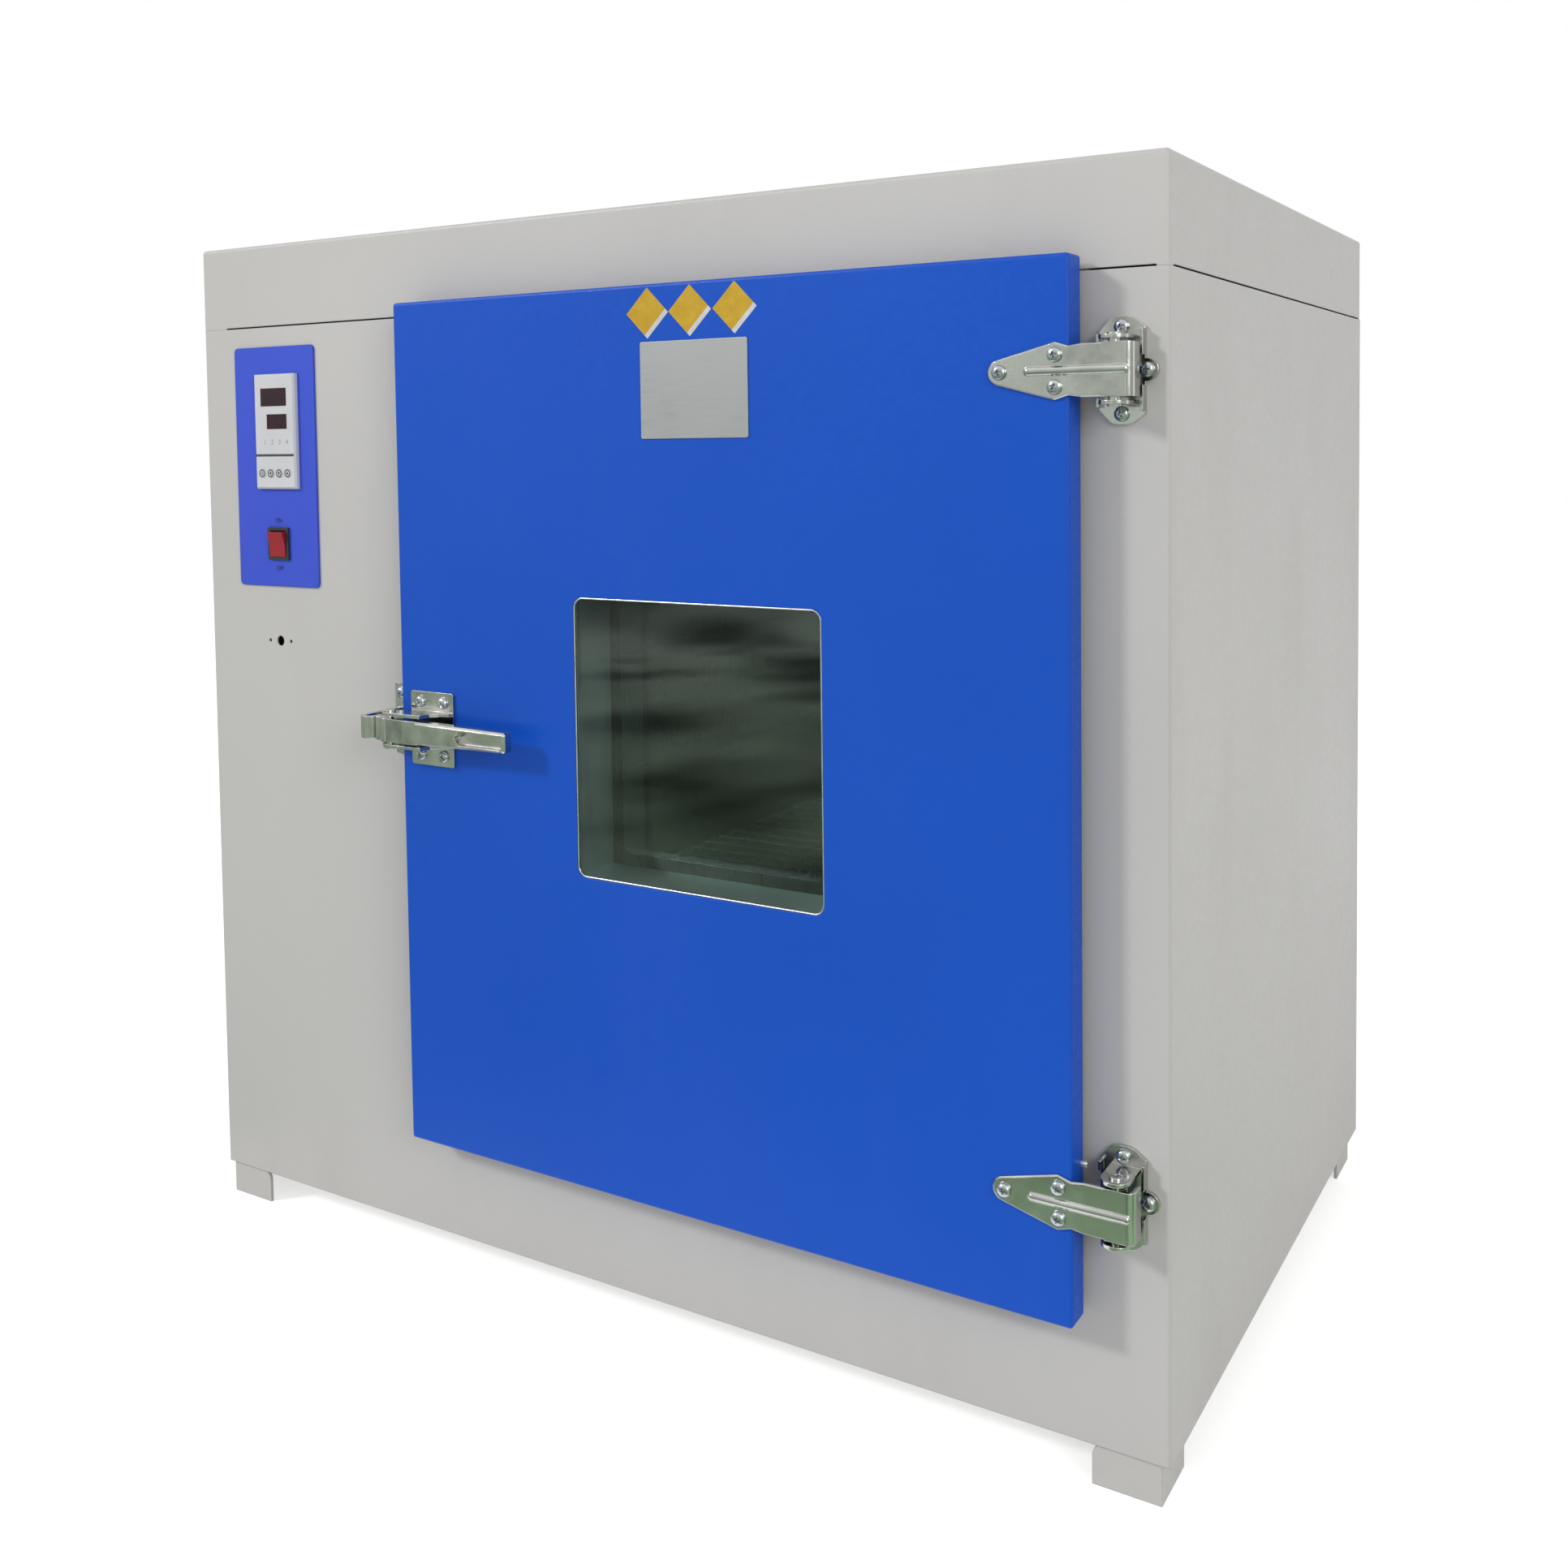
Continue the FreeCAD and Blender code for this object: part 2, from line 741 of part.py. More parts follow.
def chamber_insulation():
    """Glass wool round the liner, as one closed block with the liner's space inside."""
    y0 = chamber_y0 + liner_sheet
    y1 = chamber_y1 + liner_sheet + insulation
    outer = block(wrap_x0, chamber_x1 + liner_sheet + insulation, y0, y1,
                  chamber_z0 - liner_sheet - insulation, chamber_z1 + liner_sheet + insulation)
    inner = block(chamber_x0 - liner_sheet, chamber_x1 + liner_sheet, y0 - 1, chamber_y1 + liner_sheet,
                  chamber_z0 - liner_sheet, chamber_z1 + liner_sheet)
    wool = outer.cut(inner)
    wool = pass_holes(wool, wrap_x0 - 1, chamber_x0, pipe_gap)
    hole = exhaust_radius + pipe_gap
    return wool.cut(rod(hole, (chamber_mid_x, chamber_mid_y, chamber_z1), Z_AXIS, insulation + 5))


def floor_plate():
    """The slotted plate over the heaters, standing on folded legs at its front and back."""
    x0 = chamber_x0 + inner_fit
    x1 = chamber_x1 - inner_fit
    y0 = fittings_y0
    y1 = chamber_y1 - inner_fit
    plate = block(x0, x1, y0, y1, floor_z - casing_sheet, floor_z)
    columns = 7
    rows = 8
    for i in range(columns):
        x = x0 + (x1 - x0) * (i + 0.5) / columns
        for j in range(rows):
            y = y0 + (y1 - y0) * (j + 0.5) / rows
            plate = plate.cut(block(x - 22, x + 22, y - 4, y + 4, floor_z - 2 * casing_sheet, floor_z + 1))
    legs = [
        block(x0, x1, y0, y0 + casing_sheet, chamber_z0, floor_z),
        block(x0, x1, y1 - casing_sheet, y1, chamber_z0, floor_z),
    ]
    return join([plate] + legs)


def duct_plate():
    """The plate in front of the fan, with an inlet of round holes and outlet slots above and below it."""
    y0 = fittings_y0
    y1 = chamber_y1 - inner_fit
    z0 = floor_z + inner_fit
    z1 = chamber_z1 - inner_fit
    plate = block(duct_x - casing_sheet, duct_x, y0, y1, z0, z1)
    x = duct_x - casing_sheet - 1
    holes = [(0, 0)]
    for ring, count in ((16, 6), (32, 12), (47, 16)):
        holes += [(ring * math.cos(2 * math.pi * i / count), ring * math.sin(2 * math.pi * i / count))
                  for i in range(count)]
    inlet = [rod(5, (x, fan_y + a, fan_z + b), X_AXIS, casing_sheet + 2) for a, b in holes]
    plate = plate.cut(Part.makeCompound(inlet))
    outlets = []
    for z in (z0 + 30, z0 + 60, z1 - 60, z1 - 30):
        for i in range(5):
            y = y0 + (y1 - y0) * (i + 0.5) / 5
            outlets.append(block(x, x + casing_sheet + 2, y - 28, y + 28, z - 4, z + 4))
    plate = plate.cut(Part.makeCompound(outlets))
    legs = [
        block(chamber_x0 + inner_fit, duct_x, y0, y0 + casing_sheet, z0, z1),
        block(chamber_x0 + inner_fit, duct_x, y1 - casing_sheet, y1, z0, z1),
    ]
    return join([plate] + legs)


def ledge_height(level):
    """The height of a ledge's top face, counted from the lowest."""
    return floor_z + ledge_first + level * ledge_pitch


def shelf_rails():
    """Angle ledges on both sides that the shelves rest on."""
    y0 = chamber_y0 + ledge_setback
    y1 = chamber_y1 - inner_fit
    rails = []
    for level in range(ledge_count):
        z = ledge_height(level)
        for wall, side in ((duct_x, 1), (chamber_x1, -1)):
            upright = sorted((wall, wall + side * ledge_sheet))
            foot_out = sorted((wall, wall + side * ledge_leg))
            rails.append(join([
                block(upright[0], upright[1], y0, y1, z - ledge_leg, z),
                block(foot_out[0], foot_out[1], y0, y1, z - ledge_sheet, z),
            ]))
    return Part.makeCompound(rails)


def shelf(level):
    """A lift-out shelf of welded wire in a rod frame."""
    x0 = duct_x + shelf_side_gap + shelf_rod_radius
    x1 = chamber_x1 - shelf_side_gap - shelf_rod_radius
    y0 = chamber_y0 + ledge_setback + shelf_rod_radius
    y1 = chamber_y1 - shelf_side_gap - shelf_rod_radius
    z = ledge_height(level) + shelf_rest_gap + shelf_rod_radius
    pieces = []
    for y in (y0, y1):
        pieces.append(rod(shelf_rod_radius, (x0, y, z), X_AXIS, x1 - x0))
    for x in (x0, x1):
        pieces.append(rod(shelf_rod_radius, (x, y0, z), Y_AXIS, y1 - y0))
    for x in (x0, x1):
        for y in (y0, y1):
            pieces.append(Part.makeSphere(shelf_rod_radius, V(x, y, z)))
    wires = int((y1 - y0) / shelf_wire_pitch)
    step = (y1 - y0) / wires
    wire_z = z + shelf_rod_radius - shelf_wire_radius / 2
    for i in range(1, wires):
        pieces.append(rod(shelf_wire_radius, (x0, y0 + i * step, wire_z), X_AXIS, x1 - x0))
    for share in (1 / 3, 2 / 3):
        cross_z = wire_z - shelf_wire_radius - shelf_wire_radius * 0.6
        pieces.append(rod(shelf_wire_radius, (x0 + (x1 - x0) * share, y0, cross_z), Y_AXIS, y1 - y0))
    return join(pieces)


def heater_leg_places():
    """Where the heater legs pass the left wall, as (y, z)."""
    first = chamber_mid_y - heater_pitch * (heater_count - 1) / 2
    z = chamber_z0 + heater_height
    return [(first + i * heater_pitch + side * heater_bend, z) for i in range(heater_count) for side in (-1, 1)]


def heater_elements():
    """Tubular heaters bent into a U, with their terminals in the left compartment."""
    start_x = partition_x0 - heater_terminal
    end_x = chamber_x1 - heater_end_gap - heater_bend - heater_radius
    z = chamber_z0 + heater_height
    elements = []
    places = heater_leg_places()
    for i in range(heater_count):
        near_y = places[2 * i][0]
        far_y = places[2 * i + 1][0]
        middle = (near_y + far_y) / 2
        pieces = [rod(heater_radius, (start_x, y, z), X_AXIS, end_x - start_x) for y in (near_y, far_y)]
        bend = Part.makeTorus(heater_bend, heater_radius, V(end_x, middle, z), Z_AXIS, -180, 180, 180)
        bend.rotate(V(end_x, middle, z), Z_AXIS, -90)
        pieces.append(bend)
        for y in (near_y, far_y):
            pieces.append(rod(heater_collar_radius, (partition_x0 - heater_collar, y, z), X_AXIS, heater_collar))
        elements.append(join(pieces))
    return Part.makeCompound(elements)


# Fan

def fan_motor():
    """The fan's motor, flanged to its plate, with a bore for the shaft."""
    case = rod(motor_radius, (motor_x0, fan_y, fan_z), X_AXIS, motor_length)
    case = case.makeFillet(4, [e for e in case.Edges if isinstance(e.Curve, Part.Circle)
                               and e.CenterOfMass.x < motor_x0 + 1])
    ribs = []
    for i in range(5):
        x = motor_x0 + motor_length * (0.3 + 0.12 * i)
        ribs.append(pipe(motor_radius + 1, motor_radius - 2, (x, fan_y, fan_z), X_AXIS, 4))
    case = case.cut(Part.makeCompound(ribs))
    nose = rod(motor_nose_radius, (motor_x0 - motor_nose, fan_y, fan_z), X_AXIS, motor_nose)
    case = join([case, nose])
    bore = rod(shaft_radius + shaft_clearance, (motor_x1 - motor_bore_length, fan_y, fan_z), X_AXIS,
               motor_bore_length + 1)
    return case.cut(bore)


def motor_bracket():
    """The plate that carries the motor on the partition."""
    half = motor_plate_size / 2
    plate = block(motor_x1, partition_x0, fan_y - half, fan_y + half, fan_z - half, fan_z + half)
    plate = rounded(plate, 10, X_AXIS)
    return plate.cut(rod(shaft_radius + shaft_hole_gap, (motor_x1 - 1, fan_y, fan_z), X_AXIS, motor_plate + 2))


def fan_shaft():
    """The shaft from the motor through the insulation to the impeller."""
    x0 = motor_x1 - motor_bore_length + 1
    x1 = impeller_x0 + hub_length
    return rod(shaft_radius, (x0, fan_y, fan_z), X_AXIS, x1 - x0)


def fan_impeller():
    """A centrifugal wheel: back disc, hub, blades and front ring."""
    x0 = impeller_x0
    x1 = x0 + impeller_width
    pieces = [
        rod(impeller_radius, (x0, fan_y, fan_z), X_AXIS, impeller_sheet),
        rod(hub_radius, (x0, fan_y, fan_z), X_AXIS, hub_length),
        pipe(impeller_radius, impeller_radius - impeller_ring_width, (x1 - impeller_sheet, fan_y, fan_z), X_AXIS,
             impeller_sheet),
    ]
    middle = impeller_radius - impeller_ring_width / 2
    half = impeller_ring_width / 2 - 1
    for i in range(blade_count):
        blade = block(x0, x1, fan_y - 0.5, fan_y + 0.5, fan_z + middle - half, fan_z + middle + half)
        blade.rotate(V(x0, fan_y, fan_z + middle), X_AXIS, blade_angle)
        blade.rotate(V(x0, fan_y, fan_z), X_AXIS, 360 * i / blade_count)
        pieces.append(blade)
    wheel = join(pieces)
    return wheel.cut(rod(shaft_radius, (x0 - 1, fan_y, fan_z), X_AXIS, hub_length + 2))


# Probe and exhaust

def temperature_probe():
    """The sensor tube through the left wall into the duct's air, with its head in the compartment."""
    head_x = partition_x0 - probe_head_length
    tube_end = duct_x - casing_sheet - probe_end_gap - probe_radius
    tube = rod(probe_radius, (partition_x0, probe_y, probe_z), X_AXIS, tube_end - partition_x0)
    tip = Part.makeSphere(probe_radius, V(tube_end, probe_y, probe_z))
    head = rod(probe_head_radius, (head_x, probe_y, probe_z), X_AXIS, probe_head_length)
    return join([head, tube, tip])


def sector(outer, inner, degrees, turn, z0, z1):
    """A piece of a ring about the exhaust's axis, as a cutting tool."""
    tool = Part.makeCylinder(outer, z1 - z0, V(chamber_mid_x, chamber_mid_y, z0), Z_AXIS, degrees)
    tool = tool.cut(rod(inner, (chamber_mid_x, chamber_mid_y, z0), Z_AXIS, z1 - z0))
    tool.rotate(V(chamber_mid_x, chamber_mid_y, z0), Z_AXIS, turn)
    return tool


def exhaust_collar():
    """The exhaust tube from the chamber's ceiling through the roof, closed by a grille of two sectors."""
    centre = (chamber_mid_x, chamber_mid_y)
    z0 = chamber_z1
    tube = pipe(exhaust_radius, exhaust_radius - exhaust_wall, centre + (z0,), Z_AXIS, exhaust_top - z0)
    flange = pipe(exhaust_flange_radius, exhaust_radius - exhaust_wall, centre + (top,), Z_AXIS, exhaust_flange)
    lid = rod(exhaust_radius, centre + (exhaust_top - exhaust_grille,), Z_AXIS, exhaust_grille)
    collar = join([tube, flange, lid])
    for turn in (0, 180):
        collar = collar.cut(sector(damper_sector_outer, damper_sector_inner, damper_sector, turn,
                                   exhaust_top - exhaust_grille - 1, exhaust_top + 1))
    hole = damper_pin_radius + pin_clearance
    return collar.cut(rod(hole, centre + (exhaust_top - exhaust_grille - 1,), Z_AXIS, exhaust_grille + 2))


def exhaust_damper():
    """The turning disc over the grille, with its knob, and its pin clipped under the grille."""
    centre = (chamber_mid_x, chamber_mid_y)
    disc_z = exhaust_top + damper_gap
    disc = rod(damper_radius, centre + (disc_z,), Z_AXIS, damper_sheet)
    for turn in (90, 270):
        disc = disc.cut(sector(damper_sector_outer, damper_sector_inner, damper_sector, turn,
                               disc_z - 1, disc_z + damper_sheet + 1))
    knob = rod(damper_knob_radius, centre + (disc_z,), Z_AXIS, damper_sheet + damper_knob_height)
    clip_z = exhaust_top - exhaust_grille - damper_gap - damper_clip
    pin = rod(damper_pin_radius, centre + (clip_z,), Z_AXIS, disc_z - clip_z)
    clip = rod(damper_clip_radius, centre + (clip_z,), Z_AXIS, damper_clip)
    return join([disc, knob, pin, clip])


# Electrical parts

def terminal_block():
    """The row of screw terminals on the base, behind the cable gland."""
    x0 = left + terminal_from_left
    y1 = back - terminal_from_back
    z0 = bottom + pan_sheet
    body = block(x0, x0 + terminal_length, y1 - terminal_width, y1, z0, z0 + terminal_height)
    pitch = terminal_length / terminal_poles
    for i in range(terminal_poles):
        x = x0 + pitch * (i + 0.5)
        for y in (y1 - terminal_width - 1, y1 - 7):
            body = body.cut(block(x - pitch * 0.36, x + pitch * 0.36, y, y + 8, z0 + 10, z0 + terminal_height + 1))
    return body


def cable_gland():
    """The bare inlet for the mains cable: a sleeve with a nut each side of the back panel."""
    x = left + gland_from_left
    z = bottom + gland_height
    sleeve = rod(gland_radius, (x, back - casing_sheet - gland_inside, z), Y_AXIS,
                 casing_sheet + gland_inside + gland_length)
    outer_nut = rod(gland_nut_radius, (x, back, z), Y_AXIS, gland_nut_length)
    inner_nut = rod(gland_nut_radius, (x, back - casing_sheet - gland_nut_length, z), Y_AXIS, gland_nut_length)
    cap = rod(gland_radius + 2, (x, back + gland_nut_length, z), Y_AXIS, gland_length - gland_nut_length)
    cap = cap.makeFillet(2, [e for e in cap.Edges if isinstance(e.Curve, Part.Circle)
                             and e.CenterOfMass.y > back + gland_length - 1])
    body = join([sleeve, outer_nut, inner_nut, cap])
    return body.cut(rod(gland_bore, (x, back - casing_sheet - gland_inside - 1, z), Y_AXIS,
                        casing_sheet + gland_inside + gland_length + 2))


def back_panel_screws():
    """The screws that hold the back panel."""
    return Part.makeCompound([
        pan_screw(x, back, z, 1, small_screw_radius, small_screw_head_radius, small_screw_head_height,
                  small_screw_length)
        for x, z in rear_screw_places()
    ])


# Controls

def control_panel():
    """The blue plate behind the controller and the switch."""
    plate = panel(panel_x0, panel_x1, panel_front, front, panel_z0, panel_z1, panel_corner)
    plate = plate.cut(controller_cutout(panel_front - 1, front + 1))
    return plate.cut(rocker_cutout(panel_front - 1, front + 1))


def controller_case():
    """The controller's case behind the panel."""
    half_x = controller_case_width / 2
    half_z = controller_case_height / 2
    return block(controller_mid_x - half_x, controller_mid_x + half_x, panel_front,
                 panel_front + controller_case_depth, controller_mid_z - half_z, controller_mid_z + half_z)


def key_place(index):
    """The centre of one key, as (x, z)."""
    return controller_x0 + key_first_inset + index * key_pitch, controller_z0 + key_above_base


def display_window(width, height, below_top, grow):
    """A display's space in the controller's face."""
    x1 = controller_x1 - display_right_inset
    z1 = controller_z1 - below_top
    return block(x1 - width - grow, x1 + grow, controller_front, controller_front + display_depth,
                 z1 - height - grow, z1 + grow)


def controller_bezel():
    """The controller's face, with pockets for the displays and wells for the keys."""
    face = block(controller_x0, controller_x1, controller_front, panel_front, controller_z0, controller_z1)
    edge = [e for e in face.Edges if e.CenterOfMass.y < controller_front + 0.01]
    face = face.makeChamfer(controller_edge, edge)
    for width, height, below in (
        (upper_display_width, upper_display_height, upper_display_below_top),
        (lower_display_width, lower_display_height, lower_display_below_top),
    ):
        face = face.cut(display_window(width, height, below, display_fit))
    well_depth = key_length - key_stand + key_travel + key_spare
    for i in range(key_count):
        x, z = key_place(i)
        face = face.cut(rod(key_radius + key_fit, (x, controller_front - 1, z), Y_AXIS, well_depth + 1))
    return face


def key(index):
    """One round push key, standing a little out of its well."""
    x, z = key_place(index)
    cap = rod(key_radius, (x, controller_front - key_stand, z), Y_AXIS, key_length)
    return cap.makeFillet(0.5, [e for e in cap.Edges if isinstance(e.Curve, Part.Circle)
                                and e.CenterOfMass.y < controller_front])


def rocker_bezel():
    """The switch's frame and body, a cup that the rocker tilts in."""
    half_x = rocker_frame_width / 2
    half_z = rocker_frame_height / 2
    frame_y = panel_front - rocker_frame_stand
    frame = panel(rocker_x - half_x, rocker_x + half_x, frame_y, panel_front, rocker_z - half_z, rocker_z + half_z, 1)
    body_x = rocker_body_width / 2
    body_z = rocker_body_height / 2
    body = block(rocker_x - body_x, rocker_x + body_x, panel_front, panel_front + rocker_body_depth,
                 rocker_z - body_z, rocker_z + body_z)
    cup = block(rocker_x - body_x + rocker_wall, rocker_x + body_x - rocker_wall, frame_y - 1,
                panel_front + rocker_body_depth - rocker_wall, rocker_z - body_z + rocker_wall,
                rocker_z + body_z - rocker_wall)
    case = join([frame, body]).cut(cup)
    hole = rocker_pivot_radius + rocker_pivot_gap
    return case.cut(rod(hole, (rocker_x - body_x - 1, rocker_y, rocker_z), X_AXIS, rocker_body_width + 2))


def rocker_button():
    """The red rocker, its top out and its bottom pressed in, on two stub pivots."""
    half_x = rocker_body_width / 2 - rocker_wall - rocker_side_gap
    swing = math.radians(rocker_tilt)
    half_z = (rocker_body_height / 2 - rocker_wall - rocker_side_gap) * math.cos(swing) - rocker_side_gap
    face_y = rocker_y - rocker_stand
    low_y = rocker_y + 2.5
    dip = 1.2
    outline = [
        V(0, face_y, rocker_z + half_z),
        V(0, face_y + dip, rocker_z),
        V(0, face_y, rocker_z - half_z),
        V(0, low_y - 1, rocker_z - half_z),
        V(0, low_y, rocker_z),
        V(0, low_y - 1, rocker_z + half_z),
    ]
    face = Part.Face(Part.makePolygon(outline + outline[:1]))
    rocker = face.extrude(V(2 * half_x, 0, 0))
    rocker.translate(V(rocker_x - half_x, 0, 0))
    reach = rocker_body_width / 2 - 0.2
    pivots = rod(rocker_pivot_radius, (rocker_x - reach, rocker_y, rocker_z), X_AXIS, 2 * reach)
    rocker = join([rocker, pivots])
    rocker.rotate(V(rocker_x, rocker_y, rocker_z), X_AXIS, rocker_tilt)
    return rocker


# Door

def door_skin():
    """The blue outer pan of the door, with folded edges and the window's hole."""
    outer = block(door_x0, door_x1, door_front, door_back, door_z0, door_z1)
    outer = rounded(outer, door_edge_radius, Y_AXIS)
    face_edges = [e for e in outer.Edges if abs(e.CenterOfMass.y - door_front) < 0.01]
    outer = outer.makeFillet(door_edge_radius * 0.9, face_edges)
    t = casing_sheet
    inner = block(door_x0 + t, door_x1 - t, door_front + t, door_back - t, door_z0 + t, door_z1 - t)
    inner = rounded(inner, door_edge_radius - t, Y_AXIS)
    mouth = block(door_x0 + door_flange, door_x1 - door_flange, door_back - t - 1, door_back + 1,
                  door_z0 + door_flange, door_z1 - door_flange)
    skin = outer.cut(inner).cut(mouth)
    skin = skin.cut(panel(window_x0, window_x1, door_front - 1, door_front + t + 1, window_z0, window_z1,
                          window_corner))
    hole = screw_radius + screw_hole_gap
    for height in hinge_heights.values():
        skin = drilled(skin, strap_screw_places(height), hole, door_front - 1, door_front + t + 1)
    return drilled(skin, latch_screw_places(), hole, door_front - 1, door_front + t + 1)


def door_inner_panel():
    """The stainless inner panel: a flange on the pan's back and a plug that enters the chamber."""
    flange = block(door_x0 + inner_panel_inset, door_x1 - inner_panel_inset, door_back, door_back + inner_sheet,
                   door_z0 + inner_panel_inset, door_z1 - inner_panel_inset)
    plug = block(plug_x0, plug_x1, door_back, plug_back, plug_z0, plug_z1)
    plug = rounded(plug, 6, Y_AXIS)
    hollow = block(plug_x0 + inner_sheet, plug_x1 - inner_sheet, door_back - 1, plug_back - inner_sheet,
                   plug_z0 + inner_sheet, plug_z1 - inner_sheet)
    hollow = rounded(hollow, 5, Y_AXIS)
    shape = join([flange, plug]).cut(hollow)
    lip = inner_window_lip
    return shape.cut(panel(window_x0 + lip, window_x1 - lip, plug_back - 5, plug_back + 1, window_z0 + lip,
                           window_z1 - lip, inner_window_corner))


def window_space(grow, y0, y1):
    """The block round the window's sleeve."""
    return block(window_x0 - grow, window_x1 + grow, y0, y1, window_z0 - grow, window_z1 + grow)


def door_insulation():
    """The wool in the door, with a hole for the window."""
    gap = casing_sheet + insulation_fit
    front_y = door_front + casing_sheet + sheet_fit
    step_y = door_back - casing_sheet - sheet_fit
    slab = block(door_x0 + gap, door_x1 - gap, front_y, step_y, door_z0 + gap, door_z1 - gap)
    gap = inner_sheet + insulation_fit
    plug = block(plug_x0 + gap, plug_x1 - gap, step_y - 1, plug_back - inner_sheet - sheet_fit,
                 plug_z0 + gap, plug_z1 - gap)
    plug = rounded(plug, 5, Y_AXIS)
    wool = join([slab, plug])
    wool = wool.cut(window_space(glass_lap + 2, front_y - 1, plug_back + 1))
    half_hole = screw_radius + screw_hole_gap
    for height in hinge_heights.values():
        wool = drilled(wool, strap_screw_places(height), half_hole, front_y - 1, front_y + screw_length)
    return drilled(wool, latch_screw_places(), half_hole, front_y - 1, front_y + screw_length)


def door_gasket():
    """The silicone frame that closes on the casing round the chamber's mouth."""
    y0 = door_back + inner_sheet
    y1 = front - gasket_clearance
    inner = gasket_setback
    outer = gasket_setback + gasket_width
    ring = block(chamber_x0 - outer, chamber_x1 + outer, y0, y1, chamber_z0 - outer, chamber_z1 + outer)
    ring = rounded(ring, outer, Y_AXIS)
    hole = block(chamber_x0 - inner, chamber_x1 + inner, y0 - 1, y1 + 1, chamber_z0 - inner, chamber_z1 + inner)
    return ring.cut(rounded(hole, inner, Y_AXIS))


def window_outer_glass():
    """The front pane, bonded behind the pan."""
    y0 = door_front + casing_sheet
    return window_space(glass_lap, y0, y0 + glass)


def window_inner_glass():
    """The inner pane, in front of the plug's back wall."""
    y1 = plug_back - inner_sheet
    return window_space(glass_lap, y1 - glass, y1)


def window_sleeve():
    """The folded sheet sleeve between the two panes."""
    y0 = door_front + casing_sheet + glass + window_fit
    y1 = plug_back - inner_sheet - glass - window_fit
    outer = window_space(inner_sheet, y0, y1)
    return outer.cut(window_space(0, y0 - 1, y1 + 1))


def bare_plate():
    """The blank plate bonded to the door above the window."""
    x0 = door_x0 + plate_from_door_left
    z0 = door_z0 + plate_above_door_base
    return panel(x0, x0 + plate_width, door_front - plate_sheet, door_front, z0, z0 + plate_height, plate_corner)


# Hinges

def strap_outline(height):
    """The strap's outline: a round tip, tapering edges out to the shoulders, a waist and a straight end."""
    tip = (-strap_reach, 0.0)
    shoulder = (-strap_shoulder, strap_shoulder_half)
    run = math.hypot(shoulder[0] - tip[0], shoulder[1])
    lean = math.atan2(shoulder[1], shoulder[0] - tip[0]) + math.acos(strap_tip_radius / run)
    touch = (tip[0] + strap_tip_radius * math.cos(lean), strap_tip_radius * math.sin(lean))
    upper = [touch, shoulder, (-strap_waist, strap_waist_half), (-strap_straight, strap_half_height),
             (0.0, strap_half_height)]
    points = [(pin_x + x, height + z) for x, z in upper]
    points += [(pin_x + x, height - z) for x, z in reversed(upper)]
    return points


def strap_fold(height):
    """The strap's end, which passes in front of the pin and folds back beside it."""
    y0 = door_front - strap_thickness
    y1 = pin_y + strap_wall
    x1 = pin_x + strap_end
    z0 = height - strap_half_height
    z1 = height + strap_half_height
    outer = block(pin_x - 5, x1, y0, y1, z0, z1)
    outer = rounded(outer, strap_bend, Z_AXIS, lambda p: p.x > x1 - 1 and p.y < y0 + 1)
    inner_x = x1 - strap_thickness
    inner_y = y0 + strap_thickness
    inner = block(pin_x - 6, inner_x, inner_y, y1 + 1, z0 - 1, z1 + 1)
    inner = rounded(inner, strap_bend - strap_thickness, Z_AXIS, lambda p: p.x > inner_x - 1 and p.y < inner_y + 1)
    return outer.cut(inner)


def hinge_strap(height):
    """The pressed strap on the door: plate, stiffening rib, folded end and the hub round the pin."""
    y1 = door_front
    y0 = y1 - strap_thickness
    plate = plate_from(strap_outline(height), y0, y1)
    bends = (-strap_shoulder, -strap_waist, -strap_straight)
    plate = rounded(plate, 2.5, Y_AXIS, lambda p: any(abs(p.x - pin_x - x) < 0.1 for x in bends))
    tip = rod(strap_tip_radius, (pin_x - strap_reach, y0, height), Y_AXIS, strap_thickness)
    plate = join([plate, tip])
    rim = [e for e in plate.Edges if abs(e.CenterOfMass.y - y0) < 0.01 and e.CenterOfMass.x < pin_x - 1]
    plate = plate.makeChamfer(strap_edge, rim)
    rib_x0 = pin_x - strap_rib_start
    rib_x1 = pin_x + strap_end - strap_bend
    rib_y = y0 + strap_rib_radius - strap_rib_proud
    rib = rod(strap_rib_radius, (rib_x0, rib_y, height), X_AXIS, rib_x1 - rib_x0)
    rib = join([rib] + [Part.makeSphere(strap_rib_radius, V(x, rib_y, height)) for x in (rib_x0, rib_x1)])
    rib = rib.common(block(rib_x0 - 10, rib_x1 + 10, y0 - 10, y1 - 0.5, height - 10, height + 10))
    hub = rod(strap_hub_radius, (pin_x, pin_y, height - strap_half_height), Z_AXIS, 2 * strap_half_height)
    strap = join([plate, strap_fold(height), rib, hub])
    bore = rod(pin_radius + pin_clearance, (pin_x, pin_y, height - strap_half_height - 1), Z_AXIS,
               2 * strap_half_height + 2)
    return drilled(strap.cut(bore), strap_screw_places(height), screw_radius + screw_hole_gap, y0 - 5, y1 + 1)


